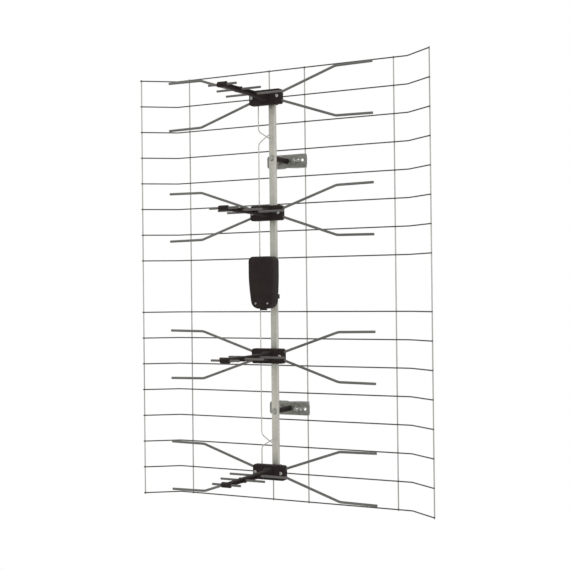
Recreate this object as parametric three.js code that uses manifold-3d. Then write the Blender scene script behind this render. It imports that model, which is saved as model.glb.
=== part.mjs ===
// Television panel antenna: a bent wire reflector, a boom with four pairs of V-shaped dipoles,
// three director rods in front of each pair, two crossed feed lines, a connection box and two clamps.
// Millimetres. +Z is up and the antenna looks along -Y. The origin lies on the axis of the round
// that the clamps close on, at the middle of the reflector's height.
import * as THREE from "three";
import { mergeVertices } from "three/addons/utils/BufferGeometryUtils.js";
import Module from "manifold-3d";

const wasm = await Module();
wasm.setup();

// Clearances
const fit = 0.25; // between a piece and the hole, groove or saddle that holds it
const seatGap = 0.2; // between two pieces that are screwed or pressed face to face
const overcut = 1; // how far a cutter runs past the face that it cuts, or a join into its neighbour

// Reflector: a welded grid of round wire, flat in the middle, with its two sides bent forwards
const wireDiameter = 2.4;
const wirePitch = 50; // from one horizontal wire to the next
const wiresEachHalf = 8; // above the middle, and as many below it, with none at the middle itself
const flatHalfWidth = 241; // from the middle to the bend
const wingLength = 72.4;
const wingAngle = THREE.MathUtils.degToRad(37.4);
const wireBendRadius = 7;
const innerUprightX = 37;
const outerUprightFromBend = 27;
const wireOverhang = 1.5; // of the horizontal wires past the edge uprights
const weldDepth = 0.5; // how far crossing wires sink into each other

// Boom: a rounded rectangular tube
const boomWidth = 12;
const boomDepth = 9;
const boomWall = 1.2;
const boomCorner = 1.2;
const boomFront = 60; // from the reflector to the boom's front face
const boomPastBay = 10; // past the centre of the outermost dipole pair

// Heights of the dipole pairs, above and below the middle
const outerBayZ = 336;
const innerBayZ = 128;

// Dipoles: each side of a pair is one rod, bent round its terminal screw
const dipolePlane = boomFront + 19; // from the reflector
const dipoleDiameter = 4.6;
const terminalX = 26;
const dipoleLoopRadius = 5.4;
const dipoleBendX = 138;
const dipoleBendZ = 43.5;
const dipoleBendRadius = 24;
const dipoleTipX = 208;
const dipoleTipZ = 44.5;

// Insulator: a moulded block in two halves. The back one has the channels for rods and wires
const blockWidth = 2 * (terminalX + 6);
const blockHeight = 27;
const blockCorner = 4.5;
const blockEdge = 2; // rounding of its front and back edges
const blockBack = 7; // from the dipole plane to the back face
const blockFace = 7; // from the dipole plane to the front face
const blockClip = { z: 0, height: 20, wall: 2.6, reach: boomDepth };

// Saddles over the boom's front. One that reaches the boom's back also hooks behind it
const clipHook = 1.2;
const clipHookDepth = 1.8;

// Pan-head screws: a length is measured under the head
const terminalScrew = { diameter: 3.5, head: 6.2, headHeight: 2.2, length: 12.5 };
const lidScrew = { diameter: 3, head: 5, headHeight: 1.6, length: 7.5 };
const screwPoint = { narrowing: 0.6, height: 0.8 };
const screwCrown = { radius: 0.84, height: 0.7 }; // shares of the head where its side turns in

// Director arm, moulded on the insulator's front half, and its three rods
const directorDiameter = 4;
const directors = [
  { size: "long", distance: dipolePlane + 45, length: 113, sleeveLength: 13, sleeveDiameter: 9 },
  { size: "middle", distance: dipolePlane + 98, length: 87, sleeveLength: 13, sleeveDiameter: 9 },
  { size: "short", distance: dipolePlane + 152, length: 55, sleeveLength: 17, sleeveDiameter: 9.6 },
];
const armRoot = { width: 11, height: 11 };
const armTip = { width: 7.5, height: 7 };
const armGusset = { width: 20, height: 20, length: 13 };

// Feed lines: two bare wires from the outer pair past the inner pair into the box, crossing once
const feedDiameter = 2;
const feedX = terminalX - 9;
const feedPlane = dipolePlane - 1.5; // from the reflector
const crossingLength = 34;
const crossingBow = 2.6; // how far each wire steps out of the feed plane where they cross
const upperCrossingFromBay = 71;
const lowerCrossingFromBay = 56;
const feedEndInBlock = 7; // past the centre of the outer pair

// Connection box. Its back narrows towards the boom, and its foot narrows towards the lid
const boxTop = 50;
const boxBottom = -43;
const boxHalfWidth = feedX + 7.4;
const boxFootHalfWidth = boxHalfWidth - 2; // at the bottom corners of the base
const lidFootHalfWidth = boxHalfWidth - 5.4; // at the bottom corners of the lid's front
const lidFootRecess = 4; // how far the lid's front falls back towards its foot
const boxTaperStart = 8; // the height below which the sides draw in
const boxTaperPower = 1.3;
const lidRecessPower = 2;
const boxTopCorner = 8;
const boxBottomCorner = boxFootHalfWidth - 10.4; // leaves a flat floor for the grommet
const boxLeastCorner = 1;
const boxFootArc = THREE.MathUtils.degToRad(68); // of the bottom corners, from the bottom edge
const boxWall = 2;
const boxBack = feedPlane - 7.5; // the back of the base
const boxBackEdge = 1.5; // chamfer of the back
const boxShoulder = feedPlane + 5.5; // where the narrowing back reaches the full width
const boxBackSlope = 0.56; // drawn in for each millimetre behind the shoulder
const boxParting = feedPlane + 25.5; // the joint between base and lid
const boxFront = boxParting + 7.5;
const lidEdge = 6; // rounding of the lid's front edge
const lidHookX = boxHalfWidth - boxTopCorner - 2.4; // on the straight of the top wall
const lidHook = { width: 6, root: 3, reach: 5, thickness: 1.6, lip: 1.5, rise: 1.65 };
const hookPlay = 0.6; // round a hook's point in its slot
const boxClip = { z: -21.5, height: 8, wall: 1.6, reach: boomDepth };
const boxSaddle = { z: 25, height: 20, wall: 1.6, reach: 4 };
const boardThickness = 1.6;
const boardBack = feedPlane + 6.5; // the board's side that faces the feed wires
const boardTop = 38;
const boardMargin = 1.5;
const boardAboveBosses = 0.1;
const feedEndZ = 18; // where the feed wires end in the box
const terminalBlock = { size: 6, pastWire: 1.2, pastEnd: 2 };
const shieldCan = { width: 22, height: 30, depth: 6, bottom: -4 };
const postDiameter = 5;
const postZ = [boardTop - 6, -(feedEndZ + 6)];
const postTuck = 0.3; // how far a post's corner reaches in beside a terminal
const lidScrewX = lidFootHalfWidth - 7;
const lidScrewZ = -33.5;
const lidSeat = boxParting + 0.6; // the face under the heads of the lid screws
const lidPocketDiameter = 6.6;
const lidTubeDiameter = 9.4;
const lidBossDiameter = 6.8;

// Cable grommet in the floor of the box
const grommetDistance = feedPlane + 18.5;
const grommetBore = 6.8;
const grommetNeck = 9.6;
const grommetFlange = 13;
const grommetLip = 2.6; // how far it stands out below the box
const grommetInside = 2.2;
const grommetChamfer = 0.8;

// Clamps
const gripDiameter = 28; // the round that a clamp is set for
const clampCell = 4; // the clamps lie between this horizontal wire, counted from the middle, and the next
const clampShift = 4; // above the middle of that cell
const notchHalfAngle = THREE.MathUtils.degToRad(45);
const notchToWeb = 0.5; // left between the notch's apex and the web
const sheet = 2;
const sheetBend = 3; // outer radius of the folds
const bracketHeight = 25;
const bracketPastUpright = 7.5;
const bracketCorner = 6;
const flangePastContact = 3;
const flangeChamfer = 4;
const slotRun = 5;
const spareHoleFromLeg = 14;
const spareHoleDiameter = 6.4;
const pressNut = { diameter: 9, height: 3.6 };
const uBoltDiameter = 6;
const uBoltSlack = 1; // its inner radius less the radius of the round
const uBoltPastNut = 7;
const nutAcross = 10;
const nutHeight = 5;
const spacerDiameter = 10;
const boltDiameter = 5;
const boltHeadAcross = 8;
const boltHeadHeight = 3.4;
const boltFlangeDiameter = 10.5;
const boltFlangeHeight = 1.2;
const boltPoint = 0.6;

// Facets
const wireSides = 6;
const dipoleSides = 8;
const rodSides = 8;
const roundSides = 10;
const turnedSides = 12;
const bendSteps = 2;
const loopSteps = 5;
const crossingSteps = 6;
const uBoltSteps = 8;
const taperSteps = 3;
const cornerSteps = 3;
const lidEdgeSteps = 3;

// Places that follow from the sizes
const wireRadius = wireDiameter / 2;
const wireApothem = wireRadius * Math.cos(Math.PI / wireSides);
const uprightSetback = 2 * wireApothem - weldDepth;
const outerUprightX = flatHalfWidth - outerUprightFromBend;
const gripRadius = gripDiameter / 2;
const notchApex = gripRadius / Math.sin(notchHalfAngle);
const webBackY = -(notchApex + notchToWeb);
const webFrontY = webBackY - sheet;
const reflectorY = webBackY + fit + wireApothem - uprightSetback;
const reflectorTop = wiresEachHalf * wirePitch;
const clampZ = (clampCell + 0.5) * wirePitch + clampShift;
const legX = gripRadius + uBoltSlack + uBoltDiameter / 2;
const boomTop = outerBayZ + boomPastBay;
const insulatorBack = dipolePlane - blockBack;
const insulatorParting = dipolePlane + dipoleDiameter / 2 + fit;
const insulatorFace = dipolePlane + blockFace;
const terminalInnerX = feedX + terminalBlock.pastWire - terminalBlock.size;
const postX = terminalInnerX - postDiameter / 2 + postTuck;
const boardBottom = lidScrewZ + lidBossDiameter / 2 + boardAboveBosses;

/** The Y of a plane that lies a distance in front of the reflector. */
function inFront(distance) {
  return reflectorY - distance;
}

const steel = { metalness: 0.85, roughness: 0.45 };
const finishes = {
  galvanised: new THREE.MeshStandardMaterial({ color: 0xa3a49d, ...steel }),
  wire: new THREE.MeshStandardMaterial({ color: 0x8b8c88, ...steel }),
  aluminium: new THREE.MeshStandardMaterial({ color: 0x84837d, metalness: 0.8, roughness: 0.4 }),
  screw: new THREE.MeshStandardMaterial({ color: 0xc9c7c0, metalness: 0.9, roughness: 0.3 }),
  copper: new THREE.MeshStandardMaterial({ color: 0x9c958c, metalness: 0.85, roughness: 0.35 }),
  plastic: new THREE.MeshStandardMaterial({ color: 0x2f2c2b, metalness: 0, roughness: 0.55 }),
  rubber: new THREE.MeshStandardMaterial({ color: 0x1f1e1e, metalness: 0, roughness: 0.85 }),
  board: new THREE.MeshStandardMaterial({ color: 0x2f5b3a, metalness: 0, roughness: 0.5 }),
};

/** A path whose rings lie exactly at the given points, square to the bisector of each corner. */
class PointPath extends THREE.Curve {
  constructor(points) {
    super();
    this.points = points;
  }

  getPointAt(u, target = new THREE.Vector3()) {
    const last = this.points.length - 1;
    const index = Math.min(Math.floor(u * last + 1e-9), last - 1);
    return target.lerpVectors(this.points[index], this.points[index + 1], u * last - index);
  }

  getTangentAt(u, target = new THREE.Vector3()) {
    const last = this.points.length - 1;
    const index = Math.round(u * last);
    const before = this.points[Math.max(index - 1, 0)];
    const here = this.points[index];
    const after = this.points[Math.min(index + 1, last)];
    const arriving = here.clone().sub(before).normalize();
    const leaving = after.clone().sub(here).normalize();
    return target.addVectors(arriving, leaving).normalize();
  }
}

/** The points of an arc that rounds the corner at b between a and c. */
function corner(a, b, c, radius, steps = bendSteps) {
  const toA = a.clone().sub(b).normalize();
  const toC = c.clone().sub(b).normalize();
  const half = toA.angleTo(toC) / 2;
  const middle = toA.clone().add(toC).normalize();
  const centre = b.clone().addScaledVector(middle, radius / Math.sin(half));
  const start = b.clone().addScaledVector(toA, radius / Math.tan(half)).sub(centre);
  const axis = new THREE.Vector3().crossVectors(toC, toA).normalize();
  const turn = Math.PI - 2 * half;
  return Array.from({ length: steps + 1 }, (_, k) =>
    start.clone().applyAxisAngle(axis, (turn * k) / steps).add(centre),
  );
}

/** A closed outline of straight sides. */
function polygon(points) {
  return new THREE.Shape(points.map(([x, y]) => new THREE.Vector2(x, y)));
}

/** A regular polygon centred on a place on the x axis, its first corner there unless turned. */
function regular(sides, radius, turn = 0, x = 0) {
  return polygon(
    Array.from({ length: sides }, (_, k) => {
      const angle = turn + (2 * Math.PI * k) / sides;
      return [x + radius * Math.cos(angle), radius * Math.sin(angle)];
    }),
  );
}

/** A rectangle with round corners, centred on a point. */
function roundedRectangle(width, height, radius, steps = 2, x = 0, y = 0) {
  const across = width / 2 - radius;
  const up = height / 2 - radius;
  const points = [];
  for (const [index, [sx, sy]] of [[1, 1], [-1, 1], [-1, -1], [1, -1]].entries()) {
    for (let k = 0; k <= steps; k += 1) {
      const angle = (Math.PI / 2) * (index + k / steps);
      points.push([
        x + sx * across + radius * Math.cos(angle),
        y + sy * up + radius * Math.sin(angle),
      ]);
    }
  }
  return polygon(points);
}

/** A closed geometry as a solid that can be joined and cut. */
function solid(geometry) {
  const bare = geometry.clone();
  bare.deleteAttribute("normal");
  bare.deleteAttribute("uv");
  const merged = mergeVertices(bare, 1e-4);
  return new wasm.Manifold(
    new wasm.Mesh({
      numProp: 3,
      vertProperties: Float32Array.from(merged.attributes.position.array),
      triVerts: Uint32Array.from(merged.index.array),
    }),
  );
}

/** The first solid with the others joined to it. */
function joined(first, ...others) {
  return others.reduce((whole, piece) => whole.add(piece), first);
}

/** The first solid with the others cut out of it. */
function cut(first, ...others) {
  return others.reduce((whole, piece) => whole.subtract(piece), first);
}

/** A named mesh of a geometry or a solid. */
function part(name, shape, finish) {
  let geometry = shape;
  if (!shape.isBufferGeometry) {
    const { vertProperties, triVerts } = shape.getMesh();
    geometry = new THREE.BufferGeometry();
    geometry.setAttribute("position", new THREE.BufferAttribute(vertProperties, 3));
    geometry.setIndex(new THREE.BufferAttribute(triVerts, 1));
    geometry.computeVertexNormals();
  }
  const mesh = new THREE.Mesh(geometry, finish);
  mesh.name = name;
  return mesh;
}

/** A rod of even section along a list of points. */
function rod(points, diameter, sides, turn = 0) {
  return new THREE.ExtrudeGeometry(regular(sides, diameter / 2, turn), {
    extrudePath: new PointPath(points),
    steps: points.length - 1,
    bevelEnabled: false,
  });
}

/** A straight bar of round section along X, Y or Z, centred on a point. */
function bar(axis, diameter, length, centre, sides = rodSides) {
  const geometry = new THREE.CylinderGeometry(diameter / 2, diameter / 2, length, sides);
  if (axis === "x") {
    geometry.rotateZ(Math.PI / 2);
  }
  if (axis === "z") {
    geometry.rotateX(Math.PI / 2);
  }
  return geometry.translate(...centre);
}

/** A bar that cuts a hole in which a rod of that diameter has clearance all round. */
function bore(axis, diameter, length, centre, sides = rodSides) {
  return solid(bar(axis, (diameter + 2 * fit) / Math.cos(Math.PI / sides), length, centre, sides));
}

/** A box from its lowest to its highest corner. */
function block(low, high) {
  const size = high.map((value, axis) => value - low[axis]);
  const middle = high.map((value, axis) => (value + low[axis]) / 2);
  return solid(new THREE.BoxGeometry(...size).translate(...middle));
}

/** An outline in X and Z, thickened from one distance in front of the reflector to another. */
function thickened(outline, near, far, edge = 0, edgeSteps = 1) {
  const geometry = new THREE.ExtrudeGeometry(outline, {
    depth: far - near - 2 * edge,
    bevelEnabled: edge > 0,
    bevelThickness: edge,
    bevelSize: edge,
    bevelOffset: -edge,
    bevelSegments: edgeSteps,
    steps: 1,
  });
  geometry.translate(0, 0, edge);
  geometry.rotateX(Math.PI / 2);
  return solid(geometry.translate(0, inFront(near), 0));
}

/** As thickened, with only the front edge rounded. */
function frontRounded(outline, near, far, edge, edgeSteps) {
  const whole = thickened(outline, near - 2 * edge, far, edge, edgeSteps);
  return cut(whole, halfSpace(near - 3 * edge, near));
}

/** As thickened, with only the back edge rounded. */
function backRounded(outline, near, far, edge, edgeSteps) {
  const whole = thickened(outline, near, far + 2 * edge, edge, edgeSteps);
  return cut(whole, halfSpace(far, far + 3 * edge));
}

/** A slab that is wider than any moulding, between two distances in front of the reflector. */
function halfSpace(near, far) {
  const reach = blockWidth + 2 * boxTop;
  return block([-reach, inFront(far), -reach], [reach, inFront(near), reach]);
}

/** A turned piece: pairs of radius and height along Z, closed on itself. */
function turned(profile, sides = turnedSides) {
  const points = profile.map(([radius, height]) => new THREE.Vector2(radius, height));
  return new THREE.LatheGeometry(points, sides).rotateX(Math.PI / 2);
}

/** A saddle over the boom's front that starts at a distance in front of the reflector. */
function boomClip(from, { z, height, wall, reach }) {
  const inner = boomWidth / 2 + fit;
  const outer = inner + wall;
  const front = inFront(from);
  const face = inFront(boomFront + fit);
  const sides = [[inner, face]];
  if (reach < boomDepth) {
    const endY = inFront(boomFront - reach);
    sides.unshift([outer, endY], [inner, endY]);
  } else {
    const hook = inner - clipHook;
    const hookY = inFront(boomFront - reach - fit);
    const endY = hookY + clipHookDepth;
    sides.unshift([outer, endY], [hook, endY], [hook, hookY], [inner, hookY]);
  }
  const left = sides.map(([x, y]) => [-x, y]).reverse();
  const outline = polygon([[-outer, front], [outer, front], ...sides, ...left]);
  const geometry = new THREE.ExtrudeGeometry(outline, { depth: height, bevelEnabled: false });
  return solid(geometry.translate(0, 0, z - height / 2));
}

/** A pan-head screw that points along +Y, its head's underside at a distance in front. */
function screw({ diameter, head, headHeight, length }, x, z, underHead) {
  const profile = [
    [0, -length],
    [diameter / 2 - screwPoint.narrowing, -length],
    [diameter / 2, screwPoint.height - length],
    [diameter / 2, 0],
    [head / 2, 0],
    [(head / 2) * screwCrown.radius, headHeight * screwCrown.height],
    [0, headHeight],
  ];
  return turned(profile, rodSides)
    .rotateX(Math.PI / 2)
    .translate(x, inFront(underHead), z);
}

/** The welded grid: horizontal wires with bent wings, and uprights behind them. */
function reflectorGrid() {
  const endX = flatHalfWidth + wingLength * Math.cos(wingAngle);
  const endY = reflectorY - wingLength * Math.sin(wingAngle);
  const end = new THREE.Vector3(endX, endY, 0);
  const bend = new THREE.Vector3(flatHalfWidth, reflectorY, 0);
  const mirror = (point) => new THREE.Vector3(-point.x, point.y, point.z);
  const rightBend = corner(mirror(bend), bend, end, wireBendRadius, 1);
  const row = [end, ...rightBend.toReversed(), ...rightBend.map(mirror), mirror(end)];
  const horizontal = solid(rod(row.toReversed(), wireDiameter, wireSides));
  const wires = [];
  for (let k = 1; k <= wiresEachHalf; k += 1) {
    wires.push(horizontal.translate([0, 0, k * wirePitch]));
    wires.push(horizontal.translate([0, 0, -k * wirePitch]));
  }
  const alongWing = wingLength - wireOverhang - wireRadius;
  const edgeX =
    flatHalfWidth + alongWing * Math.cos(wingAngle) + uprightSetback * Math.sin(wingAngle);
  const edgeY = reflectorY - alongWing * Math.sin(wingAngle) + uprightSetback * Math.cos(wingAngle);
  const uprights = [
    [innerUprightX, reflectorY + uprightSetback, 0],
    [outerUprightX, reflectorY + uprightSetback, 0],
    [edgeX, edgeY, -wingAngle],
  ];
  const reach = reflectorTop + wireOverhang + wireRadius;
  for (const [x, y, turn] of uprights) {
    const upright = rod(
      [new THREE.Vector3(0, 0, -reach), new THREE.Vector3(0, 0, reach)],
      wireDiameter,
      wireSides,
    );
    wires.push(solid(upright.clone().rotateZ(turn).translate(x, y, 0)));
    wires.push(solid(upright.clone().rotateZ(-turn).translate(-x, y, 0)));
  }
  return joined(...wires);
}

/** The boom: a rounded tube with a hole through it at each clamp. */
function boom() {
  const outline = roundedRectangle(boomWidth, boomDepth, boomCorner);
  const inside = roundedRectangle(
    boomWidth - 2 * boomWall,
    boomDepth - 2 * boomWall,
    Math.max(boomCorner - boomWall, boomWall / 4),
  );
  outline.holes.push(inside);
  const geometry = new THREE.ExtrudeGeometry(outline, { depth: 2 * boomTop, bevelEnabled: false });
  const centreY = inFront(boomFront - boomDepth / 2);
  const holes = [clampZ, -clampZ].map((z) =>
    bore("y", boltDiameter, 2 * boomDepth, [0, centreY, z]),
  );
  return cut(solid(geometry.translate(0, centreY, -boomTop)), ...holes);
}

/** The centre line of a right-hand dipole, from its upper tip round the screw to its lower tip. */
function dipolePath() {
  const y = inFront(dipolePlane);
  const tip = new THREE.Vector3(dipoleTipX, y, dipoleTipZ);
  const bend = new THREE.Vector3(dipoleBendX, y, dipoleBendZ);
  const across = dipoleBendX - terminalX;
  const slope =
    Math.atan2(dipoleBendZ, across) -
    Math.asin(dipoleLoopRadius / Math.hypot(across, dipoleBendZ));
  const loopStart = slope + Math.PI / 2;
  const loop = Array.from({ length: loopSteps + 1 }, (_, k) => {
    const angle = loopStart + ((2 * Math.PI - 2 * loopStart) * k) / loopSteps;
    return new THREE.Vector3(
      terminalX + dipoleLoopRadius * Math.cos(angle),
      y,
      dipoleLoopRadius * Math.sin(angle),
    );
  });
  const upper = [tip, ...corner(tip, bend, loop[0], dipoleBendRadius)];
  const lower = upper.map((point) => new THREE.Vector3(point.x, y, -point.z)).reverse();
  return [...upper, ...loop, ...lower];
}

/** The holes for the two terminal screws, through both halves of an insulator. */
function terminalHoles() {
  const middle = insulatorFace + seatGap - terminalScrew.length / 2;
  return [terminalX, -terminalX].map((x) =>
    bore("y", terminalScrew.diameter, 2 * terminalScrew.length, [x, inFront(middle), 0]),
  );
}

/** The back half of an insulator, which snaps on the boom and holds the rods and the feed wires. */
function insulator() {
  const outline = roundedRectangle(blockWidth, blockHeight, blockCorner);
  const body = joined(
    backRounded(outline, insulatorBack, insulatorParting - seatGap / 2, blockEdge),
    boomClip(insulatorBack + blockEdge, blockClip),
  );
  const squareSides = 4;
  const toCorner = 1 / Math.cos(Math.PI / squareSides);
  const channel = solid(
    rod(dipolePath(), (dipoleDiameter + 2 * fit) * toCorner, squareSides, Math.PI / squareSides),
  );
  const half = feedDiameter / 2 + fit;
  const feedChannels = [feedX, -feedX].map((x) =>
    block(
      [x - half, inFront(insulatorParting), -blockHeight],
      [x + half, inFront(feedPlane - half), blockHeight],
    ),
  );
  return cut(body, channel, channel.mirror([1, 0, 0]), ...terminalHoles(), ...feedChannels);
}

/** The front half of an insulator with the director arm moulded on it. */
function directorArm() {
  const outline = roundedRectangle(blockWidth, blockHeight, blockCorner);
  const face = insulatorFace;
  const tip = directors.at(-1).distance;
  const cover = frontRounded(outline, insulatorParting + seatGap / 2, face, blockEdge);
  const arm = beam(face - blockEdge, tip, armRoot, armTip);
  const gusset = beam(face - blockEdge, face + armGusset.length, armGusset, armRoot);
  const sleeves = directors.map((rodOf) =>
    solid(
      bar("x", rodOf.sleeveDiameter, rodOf.sleeveLength, [0, inFront(rodOf.distance), 0]),
    ),
  );
  const holes = directors.map((rodOf) =>
    bore("x", directorDiameter, 2 * rodOf.sleeveLength, [0, inFront(rodOf.distance), 0]),
  );
  return cut(joined(cover, arm, gusset, ...sleeves), ...holes, ...terminalHoles());
}

/** A beam of eight sides that tapers from one width and height to another as it goes forwards. */
function beam(near, far, start, end) {
  const sides = 8;
  const toCorner = 1 / Math.cos(Math.PI / sides);
  const geometry = new THREE.CylinderGeometry(
    (start.width / 2) * toCorner,
    (end.width / 2) * toCorner,
    far - near,
    sides,
    1,
  );
  geometry.rotateY(Math.PI / sides);
  const heights = { high: start.height / start.width, low: end.height / end.width };
  const position = geometry.attributes.position;
  for (let k = 0; k < position.count; k += 1) {
    const ratio = position.getY(k) > 0 ? heights.high : heights.low;
    position.setZ(k, position.getZ(k) * ratio);
  }
  return solid(geometry.translate(0, inFront((near + far) / 2), 0));
}

/** One feed wire: it starts at the outer pair, crosses over below it and ends in the box. */
function feedWire(side, bow, crossingFromBay) {
  const crossing = outerBayZ - crossingFromBay;
  const points = [new THREE.Vector3(side * feedX, inFront(feedPlane), outerBayZ + feedEndInBlock)];
  for (let k = 0; k <= crossingSteps; k += 1) {
    const along = k / crossingSteps;
    const out = bow * Math.sin(Math.PI * along) ** 2;
    points.push(
      new THREE.Vector3(
        side * feedX * Math.cos(Math.PI * along),
        inFront(feedPlane + out),
        crossing + crossingLength * (0.5 - along),
      ),
    );
  }
  points.push(new THREE.Vector3(-side * feedX, inFront(feedPlane), feedEndZ));
  return points;
}

/** How far the outside of the box lies within its widest outline at a distance in front. */
function boxDrawnIn(distance) {
  const back = Math.max(boxShoulder - distance, 0) * boxBackSlope;
  const chamfer = Math.max(boxBack + boxBackEdge - distance, 0);
  const ahead = THREE.MathUtils.clamp(distance - (boxFront - lidEdge), 0, lidEdge);
  return back + chamfer + lidEdge - Math.sqrt(lidEdge ** 2 - ahead ** 2);
}

/** Half the width of the box at the bottom corners of the outline at a distance in front. */
function boxFootAt(distance) {
  const run = boxFront - lidEdge - boxShoulder;
  const share = THREE.MathUtils.clamp((distance - boxShoulder) / run, 0, 1);
  return THREE.MathUtils.lerp(boxFootHalfWidth, lidFootHalfWidth, share);
}

/** How far down the tapering sides a height lies, from 0 where they start to 1 at the foot. */
function boxDownAt(z) {
  const footZ = boxBottom + boxBottomCorner;
  return THREE.MathUtils.clamp((boxTaperStart - z) / (boxTaperStart - footZ), 0, 1);
}

/** Half the width of the box at a height on its tapering sides, at a distance in front. */
function boxSideAt(z, distance) {
  return boxHalfWidth - (boxHalfWidth - boxFootAt(distance)) * boxDownAt(z) ** boxTaperPower;
}

/** The Y of the box's skin at a height, where it lies at a distance in front higher up. */
function boxSkinY(z, distance) {
  const share = THREE.MathUtils.clamp((distance - boxParting) / (boxFront - boxParting), 0, 1);
  return inFront(distance - lidFootRecess * share * boxDownAt(z) ** lidRecessPower);
}

/** The corners of the box's outline at a distance in front, drawn in by an inset. */
function boxOutline(distance, inset) {
  const topCorner = Math.max(boxTopCorner - inset, boxLeastCorner);
  const bottomCorner = Math.max(boxBottomCorner - inset, boxLeastCorner);
  const foot = boxFootAt(distance) - inset;
  const footZ = boxBottom + inset + bottomCorner;
  const right = [];
  for (let k = 0; k <= cornerSteps; k += 1) {
    const angle = -Math.PI / 2 + (k / cornerSteps) * boxFootArc;
    right.push([
      foot - bottomCorner + bottomCorner * Math.cos(angle),
      footZ + bottomCorner * Math.sin(angle),
    ]);
  }
  for (let k = 0; k <= taperSteps; k += 1) {
    const z = footZ + (boxTaperStart - footZ) * (k / taperSteps);
    right.push([boxSideAt(z, distance) - inset, z]);
  }
  for (let k = 0; k <= cornerSteps; k += 1) {
    const angle = (k / cornerSteps) * (Math.PI / 2);
    right.push([
      boxHalfWidth - inset - topCorner + topCorner * Math.cos(angle),
      boxTop - inset - topCorner + topCorner * Math.sin(angle),
    ]);
  }
  const left = right.map(([x, z]) => [-x, z]).reverse();
  return [...right, ...left];
}

/** The box's solid shape through outlines at growing distances, drawn in by a wall. */
function boxSolid(distances, wall) {
  const outlines = distances.map((distance) => boxOutline(distance, boxDrawnIn(distance) + wall));
  const count = outlines[0].length;
  const positions = outlines.flatMap((outline, k) =>
    outline.flatMap(([x, z]) => [x, boxSkinY(z, distances[k]), z]),
  );
  const index = [];
  for (let ring = 0; ring < distances.length - 1; ring += 1) {
    for (let k = 0; k < count; k += 1) {
      const here = ring * count + k;
      const next = ring * count + ((k + 1) % count);
      index.push(here, next, next + count, here, next + count, here + count);
    }
  }
  const last = (distances.length - 1) * count;
  for (let k = 0; k < count / 2 - 1; k += 1) {
    const [right, left] = [k, count - 1 - k];
    index.push(right, left, right + 1, left, left - 1, right + 1);
    index.push(last + right, last + right + 1, last + left);
    index.push(last + left, last + right + 1, last + left - 1);
  }
  const geometry = new THREE.BufferGeometry();
  geometry.setAttribute("position", new THREE.Float32BufferAttribute(positions, 3));
  geometry.setIndex(index);
  return solid(geometry);
}

/** Bars along Y at the two lid screws. */
function atLidScrews(diameter, near, far) {
  const middle = inFront((near + far) / 2);
  return [lidScrewX, -lidScrewX].map((x) =>
    solid(bar("y", diameter, far - near, [x, middle, lidScrewZ])),
  );
}

/** The base of the box: a tray with posts, wire holes and a saddle for the boom. */
function boxBase() {
  const floor = boxBack + boxWall;
  const hollow = boxSolid([floor, boxShoulder, boxParting + overcut], boxWall);
  const outside = boxSolid([boxBack, boxBack + boxBackEdge, boxShoulder, boxParting], 0);
  const posts = postZ.flatMap((z) =>
    [postX, -postX].map((x) => {
      const length = boardBack - seatGap - floor + overcut;
      return solid(bar("y", postDiameter, length, [x, inFront(floor - overcut + length / 2), z]));
    }),
  );
  const bossFront = lidSeat - boxWall - seatGap;
  const bosses = atLidScrews(lidBossDiameter, floor - overcut, bossFront).map((boss) =>
    boss.intersect(outside),
  );
  const wireHoles = [feedX, -feedX].map((x) =>
    bore("z", feedDiameter, 2 * (boxTop - boxBottom), [x, inFront(feedPlane), 0]),
  );
  const screwHoles = [lidScrewX, -lidScrewX].map((x) => {
    const near = lidSeat - lidScrew.length - overcut;
    const length = boxParting - near;
    return bore("y", lidScrew.diameter, length, [x, inFront(near + length / 2), lidScrewZ]);
  });
  const hookSlots = [lidHookX, -lidHookX].map((x) => {
    const back = boxParting - lidHook.reach - hookPlay;
    const half = lidHook.width / 2 + 2 * fit;
    return block(
      [x - half, inFront(back + lidHook.lip + 2 * hookPlay), boxTop - boxWall - overcut],
      [x + half, inFront(back), boxTop + overcut],
    );
  });
  const cableHole = bore("z", grommetNeck, 3 * boxWall, [
    0,
    inFront(grommetDistance),
    boxBottom + boxWall / 2,
  ]);
  return cut(
    joined(
      cut(outside, hollow),
      ...posts,
      ...bosses,
      boomClip(boxBack + boxWall, boxClip),
      boomClip(boxBack + boxWall, boxSaddle),
    ),
    ...wireHoles,
    ...screwHoles,
    ...hookSlots,
    cableHole,
  );
}

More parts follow.
